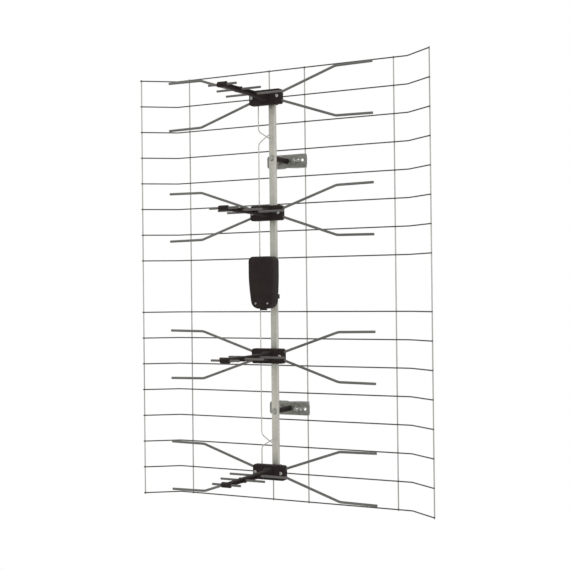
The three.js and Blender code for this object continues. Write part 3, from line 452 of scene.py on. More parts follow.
class Solid:
    """A closed shape in the making, in millimetres in the frame's axes."""

    def __init__(self, bm: bmesh.types.BMesh) -> None:
        """Takes over a bmesh."""
        self.bm = bm

    @classmethod
    def block(cls, low: Sequence[float], high: Sequence[float]) -> "Solid":
        """A box from its lowest to its highest corner.

        Args:
            low: the corner with the least X, Y and Z.
            high: the opposite one.

        Returns:
            The closed box.
        """
        bm = bmesh.new()
        size = Vector(high) - Vector(low)
        matrix = Matrix.Translation((Vector(high) + Vector(low)) / 2) @ Matrix.Diagonal((*size, 1))
        bmesh.ops.create_cube(bm, size=1.0, matrix=matrix)
        return cls(bm)

    @classmethod
    def bar(
        cls,
        start: Sequence[float],
        end: Sequence[float],
        radius: float,
        end_radius: float | None = None,
        sides: int = 24,
    ) -> "Solid":
        """A round bar or cone between two points.

        Args:
            start: the centre of one end.
            end: the centre of the other.
            radius: at the start.
            end_radius: at the end, where it differs.
            sides: how many flats stand for the round.

        Returns:
            The closed bar.
        """
        bm = bmesh.new()
        run = Vector(end) - Vector(start)
        bmesh.ops.create_cone(
            bm,
            cap_ends=True,
            segments=sides,
            radius1=radius,
            radius2=radius if end_radius is None else end_radius,
            depth=run.length,
            matrix=laid_along(run, (Vector(start) + Vector(end)) / 2),
        )
        return cls(bm)

    @classmethod
    def pin(cls, x: float, z: float, start: float, end: float, radius: float) -> "Solid":
        """A round bar at an X and a Z, from one distance in front of the reflector to another."""
        return cls.bar((x, ahead(start), z), (x, ahead(end), z), radius)

    @classmethod
    def prism(cls, corners: Sequence[Sequence[float]], run: Sequence[float]) -> "Solid":
        """An outline of corners in space, drawn out along a vector.

        Args:
            corners: of the outline, in order.
            run: the vector.

        Returns:
            The closed prism.
        """
        bm = bmesh.new()
        face = bm.faces.new([bm.verts.new(corner) for corner in corners])
        made = bmesh.ops.extrude_face_region(bm, geom=[face])["geom"]
        moved = [g for g in made if isinstance(g, bmesh.types.BMVert)]
        bmesh.ops.translate(bm, verts=moved, vec=run)
        bmesh.ops.recalc_face_normals(bm, faces=bm.faces[:])
        return cls(bm)

    @classmethod
    def lofted(cls, rings: Sequence[Sequence[Sequence[float]]]) -> "Solid":
        """A skin through rings of equally many corners, closed with strips at its two ends.

        Args:
            rings: each one's corners up its right side and then down its left side.

        Returns:
            The closed skin.
        """
        bm = bmesh.new()
        loops = [[bm.verts.new(corner) for corner in ring] for ring in rings]
        edges = [
            [bm.edges.new(pair) for pair in zip(loop, loop[1:] + loop[:1], strict=True)]
            for loop in loops
        ]
        for near, far in zip(edges, edges[1:], strict=False):
            bmesh.ops.bridge_loops(bm, edges=near + far)
        for loop in (loops[0], loops[-1]):
            for k in range(len(loop) // 2 - 1):
                bm.faces.new((loop[k], loop[k + 1], loop[-2 - k], loop[-1 - k]))
        bmesh.ops.recalc_face_normals(bm, faces=bm.faces[:])
        return cls(bm)

    @classmethod
    def turned(
        cls,
        profile: Sequence[tuple[float, float]],
        start: Sequence[float],
        way: Sequence[float],
        sides: int = 32,
    ) -> "Solid":
        """A profile spun about an axis.

        Args:
            profile: radius and height pairs, from the axis back to the axis or closed on itself.
            start: the point of height 0 on the axis.
            way: in which the heights grow.
            sides: steps in the full turn.

        Returns:
            The closed turned piece.
        """
        bm = bmesh.new()
        verts = [bm.verts.new((r, 0, h)) for r, h in profile]
        closed = profile[0][0] > 0
        pairs = zip(verts, verts[1:] + verts[:1] if closed else verts[1:], strict=False)
        edges = [bm.edges.new(pair) for pair in pairs]
        bmesh.ops.spin(
            bm,
            geom=verts + edges,
            cent=(0, 0, 0),
            axis=(0, 0, 1),
            angle=math.tau,
            steps=sides,
            use_merge=True,
        )
        bmesh.ops.remove_doubles(bm, verts=bm.verts[:], dist=TOUCH)
        bmesh.ops.transform(bm, matrix=laid_along(way, start), verts=bm.verts[:])
        bmesh.ops.recalc_face_normals(bm, faces=bm.faces[:])
        return cls(bm)

    def copy(self) -> "Solid":
        """The same shape again."""
        return Solid(self.bm.copy())

    def moved(self, x: float = 0, y: float = 0, z: float = 0) -> "Solid":
        """Moves the shape by millimetres and gives it back."""
        bmesh.ops.translate(self.bm, verts=self.bm.verts[:], vec=(x, y, z))
        return self

    def mirrored(self, axis: int = 0) -> "Solid":
        """Mirrors the shape across the plane through the origin that is square to an axis.

        Args:
            axis: 0, 1 or 2 for X, Y or Z.

        Returns:
            This shape.
        """
        scale = [1.0, 1.0, 1.0]
        scale[axis] = -1.0
        bmesh.ops.scale(self.bm, vec=scale, verts=self.bm.verts[:])
        bmesh.ops.recalc_face_normals(self.bm, faces=self.bm.faces[:])
        return self

    def rounded(self, radius: float, segments: int, where: EdgeTest) -> "Solid":
        """Rounds some edges.

        Args:
            radius: of the rounding.
            segments: steps in it.
            where: says whether an edge is rounded.

        Returns:
            This shape.
        """
        edges = [e for e in self.bm.edges if where(e)]
        bmesh.ops.bevel(
            self.bm,
            geom=edges,
            offset=radius,
            offset_type="OFFSET",
            affect="EDGES",
            segments=segments,
            profile=0.5,
            material=-1,
            clamp_overlap=True,
        )
        return self

    def with_loose(self, *others: "Solid") -> "Solid":
        """Adds other closed shells, which may pass through this one.

        Args:
            others: the shells.

        Returns:
            This shape.
        """
        for other in others:
            mesh = bpy.data.meshes.new("loose")
            other.bm.to_mesh(mesh)
            self.bm.from_mesh(mesh)
            bpy.data.meshes.remove(mesh)
        return self

    def _combined(self, others: Iterable["Solid"], operation: str) -> "Solid":
        """Joins or cuts with closed shapes, exactly.

        Args:
            others: the closed shapes.
            operation: UNION, DIFFERENCE or INTERSECT.

        Returns:
            This shape.
        """
        for other in others:
            bodies = []
            for name, shape in (("worked", self), ("tool", other)):
                mesh = bpy.data.meshes.new(name)
                shape.bm.to_mesh(mesh)
                bodies.append(bpy.data.objects.new(name, mesh))
                bpy.context.scene.collection.objects.link(bodies[-1])
            modifier = bodies[0].modifiers.new("boolean", "BOOLEAN")
            modifier.operation = operation
            modifier.solver = "MANIFOLD"
            modifier.object = bodies[1]
            graph = bpy.context.evaluated_depsgraph_get()
            result = bodies[0].evaluated_get(graph).to_mesh()
            self.bm.free()
            self.bm = bmesh.new()
            self.bm.from_mesh(result)
            bodies[0].evaluated_get(graph).to_mesh_clear()
            for body in bodies:
                mesh = body.data
                bpy.data.objects.remove(body)
                bpy.data.meshes.remove(mesh)
        return self

    def cut(self, *others: "Solid") -> "Solid":
        """Cuts other shapes out of this one."""
        return self._combined(others, "DIFFERENCE")

    def join(self, *others: "Solid") -> "Solid":
        """Joins other shapes to this one."""
        return self._combined(others, "UNION")

    def within(self, other: "Solid") -> "Solid":
        """Keeps what lies within another shape."""
        return self._combined([other], "INTERSECT")


def along(axis: int) -> EdgeTest:
    """A test for straight edges that run along an axis.

    Args:
        axis: 0, 1 or 2 for X, Y or Z.

    Returns:
        The test.
    """

    def test(edge: bmesh.types.BMEdge) -> bool:
        """Whether the edge runs that way."""
        run = edge.verts[1].co - edge.verts[0].co
        return abs(run[axis]) > STRAIGHT * run.length

    return test


def on_plane(axis: int, value: float) -> EdgeTest:
    """A test for edges that lie in the plane of that value along an axis.

    Args:
        axis: 0, 1 or 2 for X, Y or Z.
        value: where the plane crosses that axis, in millimetres.

    Returns:
        The test.
    """

    def test(edge: bmesh.types.BMEdge) -> bool:
        """Whether both ends lie in the plane."""
        return all(abs(v.co[axis] - value) < TOUCH for v in edge.verts)

    return test


def out_at(axis: int, reach: float) -> EdgeTest:
    """A test for edges whose two ends lie that far from the middle along an axis.

    Args:
        axis: 0, 1 or 2 for X, Y or Z.
        reach: that distance, in millimetres.

    Returns:
        The test.
    """

    def test(edge: bmesh.types.BMEdge) -> bool:
        """Whether both ends lie so far out."""
        return all(abs(abs(v.co[axis]) - reach) < TOUCH for v in edge.verts)

    return test


def drawn_rod(
    points: Sequence[Sequence[float]],
    bends: Sequence[float],
    radius: float,
    sides: int = 16,
    chamfer: float = 0.3,
    steps: int = 8,
) -> Solid:
    """A round rod drawn out of a disc: straight runs are extruded and corners are spun.

    Args:
        points: the corners of its centre line, ends included, in millimetres.
        bends: the bend radius at each inner corner.
        radius: of the rod.
        sides: flats round it.
        chamfer: at both ends.
        steps: steps in each bend.

    Returns:
        The closed rod.
    """
    corners = [Vector(p) for p in points]
    ways = [(b - a).normalized() for a, b in zip(corners, corners[1:], strict=False)]
    bm = bmesh.new()
    matrix = laid_along(ways[0], corners[0])
    bmesh.ops.create_circle(bm, cap_ends=True, radius=radius, segments=sides, matrix=matrix)
    bm.faces.ensure_lookup_table()
    cap = bm.faces[0]
    at = corners[0].copy()
    for k, way in enumerate(ways):
        last = k == len(ways) - 1
        angle = 0.0 if last else way.angle(ways[k + 1])
        setback = 0.0 if last else bends[k] * math.tan(angle / 2)
        run = (corners[k + 1] - at).dot(way) - setback
        inside = cap
        made = bmesh.ops.extrude_face_region(bm, geom=[cap])["geom"]
        cap = next(g for g in made if isinstance(g, bmesh.types.BMFace))
        bmesh.ops.translate(bm, verts=cap.verts[:], vec=way * run)
        if k:
            bmesh.ops.delete(bm, geom=[inside], context="FACES_ONLY")
        at += way * run
        if last:
            continue
        inwards = (ways[k + 1] - way * way.dot(ways[k + 1])).normalized()
        centre = at + inwards * bends[k]
        axis = way.cross(inwards)
        made = bmesh.ops.spin(
            bm,
            geom=[cap, *cap.edges, *cap.verts],
            cent=centre,
            axis=axis,
            angle=angle,
            steps=steps,
        )["geom_last"]
        cap = next(g for g in made if isinstance(g, bmesh.types.BMFace))
        at = centre + Matrix.Rotation(angle, 3, axis) @ (at - centre)
    bmesh.ops.recalc_face_normals(bm, faces=bm.faces[:])
    rod = Solid(bm)
    ends = (corners[0], ways[0]), (corners[-1], ways[-1])

    def at_an_end(edge: bmesh.types.BMEdge) -> bool:
        """Whether the edge lies in one of the two end faces.

        Args:
            edge: of the rod.

        Returns:
            True where it does.
        """
        for point, way in ends:
            level = all(abs((v.co - point).dot(way)) < TOUCH for v in edge.verts)
            if level and (edge.verts[0].co - point).length < 2 * radius:
                return True
        return False

    return rod.rounded(chamfer, 2, at_an_end)


THREAD_DEPTH = 0.55  # share of the pitch
THREAD_CREST = 0.16  # share of the pitch
THREAD_STEPS = 14  # in one turn
SPARE_TURNS = 2  # of the thread past each end, cut off again
THREAD_OVERLAP = 0.1  # millimetres that a shank runs into its head


def threaded_rod(
    start: Sequence[float], way: Sequence[float], length: float, radius: float, pitch: float
) -> Solid:
    """A rod with a real helical thread, cut flat at both ends.

    Args:
        start: the centre of one end.
        way: the way it runs.
        length: in millimetres.
        radius: over the crests.
        pitch: of the thread.

    Returns:
        The closed rod.
    """
    depth = THREAD_DEPTH * pitch
    crest_start, crest_end = (1 - THREAD_CREST) / 2, (1 + THREAD_CREST) / 2
    turns = math.ceil(length / pitch) + SPARE_TURNS
    bm = bmesh.new()
    verts = []
    for k in range(-SPARE_TURNS, turns):
        verts.append(bm.verts.new((radius - depth, 0, k * pitch)))
        verts.append(bm.verts.new((radius, 0, (k + crest_start) * pitch)))
        verts.append(bm.verts.new((radius, 0, (k + crest_end) * pitch)))
    edges = [bm.edges.new(pair) for pair in zip(verts, verts[1:], strict=False)]
    bmesh.ops.spin(
        bm,
        geom=verts + edges,
        cent=(0, 0, 0),
        axis=(0, 0, 1),
        dvec=(0, 0, pitch / THREAD_STEPS),
        angle=math.tau,
        steps=THREAD_STEPS,
    )
    bmesh.ops.remove_doubles(bm, verts=bm.verts[:], dist=TOUCH)
    for place, side in ((0.0, -1), (length, 1)):
        geom = bm.verts[:] + bm.edges[:] + bm.faces[:]
        cut = bmesh.ops.bisect_plane(
            bm, geom=geom, plane_co=(0, 0, place), plane_no=(0, 0, side), clear_outer=True
        )["geom_cut"]
        bmesh.ops.holes_fill(bm, edges=[g for g in cut if isinstance(g, bmesh.types.BMEdge)])
    bmesh.ops.transform(bm, matrix=laid_along(way, start), verts=bm.verts[:])
    bmesh.ops.recalc_face_normals(bm, faces=bm.faces[:])
    return Solid(bm)


@dataclass
class Piece:
    """A finished piece: a shape with its name, finish, body and the nodes that it stands for."""

    name: str
    shape: Solid
    finish: Finish
    body: Body = Body.FRAME
    stands_for: tuple[str, ...] = ()
    soften: float = 0.0  # millimetres of rounding on every sharp edge
    sharp: float = 35.0  # degrees past which an edge shades sharp

    def place(self, up: float = 0.0) -> bpy.types.Object:
        """Makes the object, a height up in millimetres, and puts it on its body.

        Args:
            up: how far the shape is moved along Z.

        Returns:
            The object, at the origin, with its place in its mesh.
        """
        bm = self.shape.bm.copy()
        matrix = Matrix.Diagonal((MM, MM, MM, 1)) @ Matrix.Translation((0, 0, up))
        bmesh.ops.transform(bm, matrix=matrix, verts=bm.verts[:])
        mesh = bpy.data.meshes.new(self.name)
        bm.to_mesh(mesh)
        bm.free()
        mesh.materials.append(self.finish.material())
        for polygon in mesh.polygons:
            polygon.use_smooth = True
            polygon.material_index = 0
        mesh.set_sharp_from_angle(angle=math.radians(self.sharp))
        made = bpy.data.objects.new(self.name, mesh)
        bpy.context.scene.collection.objects.link(made)
        if self.soften:
            bevel = made.modifiers.new("soft edges", "BEVEL")
            bevel.width = self.soften * MM
            bevel.segments = 2
            bevel.limit_method = "ANGLE"
            bevel.angle_limit = math.radians(self.sharp)
            bevel.harden_normals = True
        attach(made, self.body.value)
        if self.stands_for:
            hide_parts(*self.stands_for)
        log.info("%s on %s, %d faces", self.name, self.body.value, len(mesh.polygons))
        return made


@dataclass(frozen=True)
class Repeated:
    """A piece of every bay or clamp. Its names end in that place's name."""

    name: str
    shape: Solid
    finish: Finish
    node: str = ""
    body: str = ""
    soften: float = 0.0

    def place(self, where: str, up: float) -> None:
        """Places the piece in one bay or clamp.

        Args:
            where: the name of that place.
            up: its height, in millimetres.
        """
        body = Body(f"{self.body}_{where}") if self.body else Body.FRAME
        nodes = (f"{self.node}_{where}",) if self.node else ()
        Piece(f"{self.name}_{where}", self.shape, self.finish, body, nodes, self.soften).place(up)


@dataclass
class Reflector:
    """The welded grid of wires, flat in the middle, with its two sides bent forwards."""

    wire: float = 2.4
    pitch: float = 50.0
    each_half: int = 8
    flat_half: float = 241.0
    wing: float = 72.4
    wing_angle: float = math.radians(37.4)
    bend: float = 7.0
    uprights: tuple[float, float] = (37.0, 214.0)
    overhang: float = 1.5
    setback: float = 1.58  # from the rows of wire to the uprights behind them
    nugget: float = 0.95  # radius of the metal squeezed out at a weld
    squeezed: tuple[float, float, float] = (1.5, 0.8, 1.5)  # how the nugget is flattened

    def wing_point(self, run: float, behind: float = 0.0) -> tuple[float, float]:
        """X and Y of a point on the right wing, a run from the bend and a step behind it.

        Args:
            run: from the bend along the wing.
            behind: the step back, square to the wing.

        Returns:
            X and Y in millimetres.
        """
        sine, cosine = math.sin(self.wing_angle), math.cos(self.wing_angle)
        return (
            self.flat_half + run * cosine + behind * sine,
            REFLECTOR_Y - run * sine + behind * cosine,
        )

    def row(self) -> Solid:
        """One wire of a row, at height 0.

        Returns:
            The closed wire.
        """
        x, y = self.wing_point(self.wing)
        corners = [
            (-x, y, 0),
            (-self.flat_half, REFLECTOR_Y, 0),
            (self.flat_half, REFLECTOR_Y, 0),
            (x, y, 0),
        ]
        return drawn_rod(corners, [self.bend] * 2, self.wire / 2, sides=12, steps=5)

    def crossings(self) -> list[tuple[float, float]]:
        """X and Y of the uprights, left and right.

        Returns:
            A pair for each upright, the right ones first.
        """
        radius = self.wire / 2
        edge = self.wing_point(self.wing - self.overhang - radius, self.setback)
        right = [(x, REFLECTOR_Y + self.setback) for x in self.uprights] + [edge]
        return right + [(-x, y) for x, y in right]

    def weld(self, x: float, y: float) -> Solid:
        """A weld: a flat bead between two crossing wires, at height 0.

        Args:
            x: of the upright.
            y: of the upright.

        Returns:
            The closed bead.
        """
        bm = bmesh.new()
        turned = 0.0 if abs(x) < self.flat_half else math.copysign(self.wing_angle, -x)
        back = Vector((math.sin(-turned), math.cos(turned), 0))
        matrix = (
            Matrix.Translation(Vector((x, y, 0)) - back * (self.setback / 2))
            @ Matrix.Rotation(turned, 4, "Z")
            @ Matrix.Diagonal((*self.squeezed, 1))
        )
        bmesh.ops.create_uvsphere(
            bm, u_segments=8, v_segments=6, radius=self.nugget, matrix=matrix
        )
        return Solid(bm)

    def build(self) -> None:
        """Places the grid."""
        heights = [s * k * self.pitch for k in range(1, self.each_half + 1) for s in (1, -1)]
        reach = self.each_half * self.pitch + self.overhang + self.wire / 2
        row = self.row()
        rows, *more_rows = [row.copy().moved(z=z) for z in heights]
        rows.with_loose(*more_rows)
        uprights = []
        for x, y in self.crossings():
            uprights.append(drawn_rod([(x, y, -reach), (x, y, reach)], [], self.wire / 2, sides=12))
            bead = self.weld(x, y)
            rows.with_loose(*[bead.copy().moved(z=z) for z in heights])
        first, *others = uprights
        Piece("reflector_rows", rows, WIRE, stands_for=("reflector_grid",)).place()
        Piece("reflector_uprights", first.with_loose(*others), LIT_UPRIGHT).place()


@dataclass
class Boom:
    """The tube that carries the bays, with a hole through it at each clamp."""

    width: float = 12.0
    depth: float = 9.0
    wall: float = 1.2
    corner: float = 1.2
    least_corner: float = 0.3
    bolt: float = 5.0
    clamp_height: float = field(default_factory=lambda: middle_of("clamp_bracket_upper").z)

    def bar(self, inset: float, half_length: float) -> Solid:
        """A rounded bar of the tube's section, drawn in by an inset.

        Args:
            inset: in millimetres.
            half_length: in millimetres.

        Returns:
            The closed bar.
        """
        half = self.width / 2 - inset
        shape = Solid.block(
            (-half, ahead(BOOM_DISTANCE - inset), -half_length),
            (half, ahead(BOOM_DISTANCE - self.depth + inset), half_length),
        )
        return shape.rounded(max(self.corner - inset, self.least_corner), 4, along(2))

    def build(self) -> None:
        """Places the boom."""
        low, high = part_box("boom")
        half_length = (high.z - low.z) / 2 / MM
        tube = self.bar(0, half_length).cut(self.bar(self.wall, half_length + OVERCUT))
        start, end = BOOM_DISTANCE + OVERCUT, BOOM_DISTANCE - self.depth - OVERCUT
        for z in (self.clamp_height, -self.clamp_height):
            tube.cut(Solid.pin(0, z, start, end, self.bolt / 2 + FIT))
        Piece("boom_tube", tube, TUBE, stands_for=("boom",), soften=0.15).place()


@dataclass(frozen=True)
class Saddle:
    """A saddle over the boom's front. One that reaches the boom's back hooks behind it."""

    z: float
    height: float
    wall: float
    reach: float  # back from the boom's front
    hook: float = 1.2
    hook_depth: float = 1.8
    corner: float = 1.0

    def shape(self, root: float) -> Solid:
        """The saddle.

        Args:
            root: the distance in front of the reflector where it joins a moulding.

        Returns:
            The closed shape.
        """
        inner = Boom.width / 2 + FIT
        outer = inner + self.wall
        low, high = self.z - self.height / 2, self.z + self.height / 2
        hooks = self.reach >= Boom.depth
        back = BOOM_DISTANCE - self.reach - (FIT if hooks else 0)
        end = back - self.hook_depth if hooks else back
        under, over = low - OVERCUT, high + OVERCUT
        saddle = Solid.block((-outer, ahead(root), low), (outer, ahead(end), high))
        saddle.rounded(self.corner, 2, along(2))
        mouth = inner - self.hook if hooks else inner
        return saddle.cut(
            Solid.block((-inner, ahead(BOOM_DISTANCE + FIT), under), (inner, ahead(back), over)),
            Solid.block(
                (-mouth, ahead(back + OVERCUT), under), (mouth, ahead(end - OVERCUT), over)
            ),
        )


@dataclass(frozen=True)
class PanScrew:
    """A cross-recessed pan-head screw that points back into the antenna."""

    diameter: float
    head: float
    head_height: float
    length: float
    pitch: float
    brim: float = 0.35  # share of the head's height below its dome
    underside: tuple[float, float] = (0.97, 0.12)  # shares of radius and height: its broken edge
    dome_step: float = 15.0  # degrees
    dome_steps: int = 6
    recess: tuple[float, float] = (0.27, 0.075)  # shares of the head: half a slot's run and width
    recess_depth: float = 0.55  # share of the head's height

    def shape(self, x: float, z: float, seat: float) -> Solid:
        """The screw, with its head's underside at a distance in front of the reflector.

        Args:
            x: of its axis.
            z: of its axis.
            seat: that distance.

        Returns:
            The closed shape.
        """
        rise, radius = self.head_height, self.head / 2
        flat, edge = self.underside
        profile = [(0, 0), (radius * flat, 0), (radius, rise * edge)]
        for k in range(self.dome_steps):
            a = math.radians(k * self.dome_step)
            height = rise * (self.brim + (1 - self.brim) * math.sin(a))
            profile.append((radius * math.cos(a), height))
        profile.append((0, rise))
        head = Solid.turned(profile, (x, ahead(seat), z), (0, -1, 0), sides=24)
        arm, thick = (self.head * share for share in self.recess)
        top = ahead(seat + rise)
        deep = top + self.recess_depth * rise
        for half_x, half_z in ((arm, thick), (thick, arm)):
            low, high = (x - half_x, top - OVERCUT, z - half_z), (x + half_x, deep, z + half_z)
            head.cut(Solid.block(low, high))
        start = (x, ahead(seat + THREAD_OVERLAP), z)
        shank = threaded_rod(start, (0, 1, 0), self.length, self.diameter / 2, self.pitch)
        return head.with_loose(shank)


@dataclass(frozen=True)
class DirectorSize:
    """One director rod and the sleeve of the arm that holds it."""

    name: str
    distance: float
    length: float
    sleeve_length: float
    sleeve_diameter: float


@dataclass
class Bay:
    """A dipole pair: insulator, director arm, two bent rods, two screws and three directors."""

    plane: float = 79.0  # of the dipoles, in front of the reflector
    rod: float = 4.6
    terminal_x: float = 26.0
    loop: float = 5.4
    bend: tuple[float, float] = (138.0, 43.5)
    bend_radius: float = 24.0
    tip: tuple[float, float] = (208.0, 44.5)
    width: float = 64.0
    height: float = 27.0
    corner: float = 4.5
    edge: float = 2.0
    back: float = 72.0
    face: float = 86.0
    screw: PanScrew = PanScrew(3.5, 6.2, 2.2, 12.5, 0.8)
    director: float = 4.0
    directors: tuple[DirectorSize, ...] = (
        DirectorSize("long", 124, 113, 13, 9),
        DirectorSize("middle", 177, 87, 13, 9),
        DirectorSize("short", 231, 55, 17, 9.6),
    )
    arm_root: tuple[float, float] = (11.0, 11.0)
    arm_tip: tuple[float, float] = (7.5, 7.0)
    arm_corner: float = 0.28  # share of the smaller measure at the arm's tip
    gusset: tuple[float, float] = (20.0, 20.0)  # at the arm's root
    gusset_length: float = 13.0
    sleeve_round: float = 1.6
    flute_from_face: float = 16.0
    flute_from_sleeve: float = 8.0
    flute_x: tuple[float, float] = (2.2, 9.0)
    flute_half_height: float = 1.7
    flute_round: float = 1.2
    groove: tuple[float, float] = (0.3, 1.2)  # round a screw's head, from and to
    groove_depth: float = 0.6
    pocket_x: tuple[float, ...] = (-7.0, 0.0, 7.0)  # in the back, from the middle of a side
    pocket_half_width: float = 2.2
    pocket_depth: float = 2.4
    pocket_margin: float = 4.0
    saddle: Saddle = Saddle(0.0, 20.0, 2.6, Boom.depth)

    @property
    def parting(self) -> float:
        """The distance of the joint between the two halves of the insulator."""
        return self.plane + self.rod / 2 + FIT

    def slab(self, near: float, far: float, round_at: float) -> Solid:
        """A rounded slab of the insulator's outline, with one face's edge rounded too.

        Args:
            near: the distance of its back face.
            far: the distance of its front face.
            round_at: the distance of the face whose edge is rounded.

        Returns:
            The closed slab.
        """
        half, tall = self.width / 2, self.height / 2
        shape = Solid.block((-half, ahead(far), -tall), (half, ahead(near), tall))
        shape.rounded(self.corner, 6, along(1))
        return shape.rounded(self.edge, 4, on_plane(1, ahead(round_at)))

    def terminal_holes(self) -> list[Solid]:
        """The two holes for the terminal screws."""
        start, end, radius = self.back - OVERCUT, self.face + OVERCUT, self.screw.diameter / 2 + FIT
        return [Solid.pin(x, 0, start, end, radius) for x in (self.terminal_x, -self.terminal_x)]

    def rod_line(self, side: int) -> list[tuple[float, float, float]]:
        """The corners of a dipole's centre line, on the right for side 1 and the left for -1.

        Args:
            side: 1 for the right one, -1 for the left one.

        Returns:
            The corners, from the upper tip to the lower one.
        """
        across = self.bend[0] - self.terminal_x
        slope = math.atan2(self.bend[1], across) - math.asin(
            self.loop / math.hypot(across, self.bend[1])
        )
        apex = self.bend[0] - self.bend[1] / math.tan(slope)
        y = ahead(self.plane)
        upper = [(side * self.tip[0], y, self.tip[1]), (side * self.bend[0], y, self.bend[1])]
        return [*upper, (side * apex, y, 0), *[(x, y, -z) for x, y, z in reversed(upper)]]

    def dipole(self, side: int, grow: float = 0.0) -> Solid:
        """A dipole's bent rod, or the shape of its channel when grown.

        Args:
            side: 1 for the right one, -1 for the left one.
            grow: what its radius is grown by.

        Returns:
            The closed rod.
        """
        bends = [self.bend_radius, self.loop, self.bend_radius]
        return drawn_rod(
            self.rod_line(side), bends, self.rod / 2 + grow, sides=16, chamfer=0.4, steps=10
        )

    def insulator(self) -> Solid:
        """The back half, with its channels and the saddle that snaps over the boom.

        Returns:
            The closed half.
        """
        body = self.slab(self.back, self.parting - SEAT_GAP / 2, self.back)
        body.join(self.saddle.shape(self.back + self.edge))
        outer = Boom.width / 2 + FIT + self.saddle.wall
        channel = FeedLines.diameter / 2 + FIT
        front, end = ahead(self.parting + OVERCUT), ahead(FeedLines.plane - channel)
        tall, half = self.height / 2 - self.pocket_margin, self.pocket_half_width
        floor, back = ahead(self.back + self.pocket_depth), ahead(self.back - OVERCUT)
        for side in (1, -1):
            body.cut(self.dipole(side, FIT))
            x = side * FeedLines.x
            low, high = (x - channel, front, -self.height), (x + channel, end, self.height)
            body.cut(Solid.block(low, high))
            middle = side * (outer + self.width / 2) / 2
            for offset in self.pocket_x:
                x = middle + offset
                body.cut(Solid.block((x - half, floor, -tall), (x + half, back, tall)))
        return body.cut(*self.terminal_holes())

    def beam(
        self, near: float, far: float, start: tuple[float, float], end: tuple[float, float]
    ) -> Solid:
        """A tapered beam with round corners that runs forwards.

        Args:
            near: the distance of its root.
            far: the distance of its end.
            start: width and height at the root.
            end: width and height at the end.

        Returns:
            The closed beam.
        """
        half_x, half_z = start[0] / 2, start[1] / 2
        shape = Solid.block((-half_x, ahead(far), -half_z), (half_x, ahead(near), half_z))
        tip = [v for v in shape.bm.verts if abs(v.co.y - ahead(far)) < TOUCH]
        scale = (end[0] / start[0], 1, end[1] / start[1])
        bmesh.ops.scale(shape.bm, vec=scale, verts=tip)

        def runs_forwards(edge: bmesh.types.BMEdge) -> bool:
            """Whether the edge joins the two ends."""
            return abs((edge.verts[0].co - edge.verts[1].co).y) > OVERCUT

        return shape.rounded(min(end) * self.arm_corner, 4, runs_forwards)

    def arm(self) -> Solid:
        """The front half with the director arm moulded on it.

        Returns:
            The closed half with its arm.
        """
        cover = self.slab(self.parting + SEAT_GAP / 2, self.face, self.face)
        tip = self.directors[-1].distance
        arm = self.beam(self.face - self.edge, tip, self.arm_root, self.arm_tip)
        gusset_tip = self.face + self.gusset_length
        gusset = self.beam(self.face - self.edge, gusset_tip, self.gusset, self.arm_root)
        for size in self.directors:
            half, y = size.sleeve_length / 2, ahead(size.distance)
            sleeve = Solid.bar((-half, y, 0), (half, y, 0), size.sleeve_diameter / 2, sides=28)
            arm.join(sleeve.rounded(self.sleeve_round, 4, out_at(0, half)))
        cover.join(gusset, arm)
        for size in self.directors:
            reach, y = size.sleeve_length, ahead(size.distance)
            cover.cut(Solid.bar((-reach, y, 0), (reach, y, 0), self.director / 2 + FIT, sides=20))
        inner, outer = (self.screw.head / 2 + apart for apart in self.groove)
        for x in (self.terminal_x, -self.terminal_x):
            core = Solid.pin(x, 0, self.face - OVERCUT, self.face + 2 * OVERCUT, inner)
            ring = Solid.pin(x, 0, self.face - self.groove_depth, self.face + OVERCUT, outer)
            cover.cut(ring.cut(core))
        return cover.cut(*self._flutes(), *self.terminal_holes())

    def _flutes(self) -> list[Solid]:
        """The hollows along both sides of the arm, between the sleeves.

        Returns:
            The cutters, right and left in turn.
        """
        stops = [self.face + self.flute_from_face, *[d.distance for d in self.directors]]
        (inner, outer), tall, gap = self.flute_x, self.flute_half_height, self.flute_from_sleeve
        flutes = []
        for near, far in zip(stops, stops[1:], strict=False):
            front, back = ahead(far - gap), ahead(near + gap)
            flute = Solid.block((inner, front, -tall), (outer, back, tall))
            flute.rounded(self.flute_round, 3, along(0))
            flutes += [flute, flute.copy().mirrored(0)]
        return flutes

    def pieces(self) -> list[Repeated]:
        """The pieces of one bay, at height 0.

        Returns:
            The pieces in the order in which they are placed.
        """
        pieces = [
            Repeated("insulator_back", self.insulator(), PLASTIC, "insulator", soften=0.25),
            Repeated("insulator_front", self.arm(), PLASTIC, "director_arm", soften=0.25),
        ]
        for side, sign in (("left", -1), ("right", 1)):
            rod = self.dipole(sign)
            pieces.append(Repeated(f"dipole_rod_{side}", rod, DIPOLE, f"dipole_{side}"))
            screw = self.screw.shape(sign * self.terminal_x, 0, self.face + SEAT_GAP)
            pieces.append(Repeated(f"terminal_{side}", screw, BRIGHT, f"terminal_screw_{side}"))
        for size in self.directors:
            half, y = size.length / 2, ahead(size.distance)
            rod = drawn_rod([(-half, y, 0), (half, y, 0)], [], self.director / 2, chamfer=0.4)
            name, node = f"director_rod_{size.name}", f"director_{size.name}"
            pieces.append(Repeated(name, rod, DIRECTOR, node))
        return pieces

    def build(self) -> None:
        """Places the four bays, which are alike."""
        pieces = self.pieces()
        for bay in ("top", "upper", "lower", "bottom"):
            for piece in pieces:
                piece.place(bay, middle_of(f"director_arm_{bay}").z)


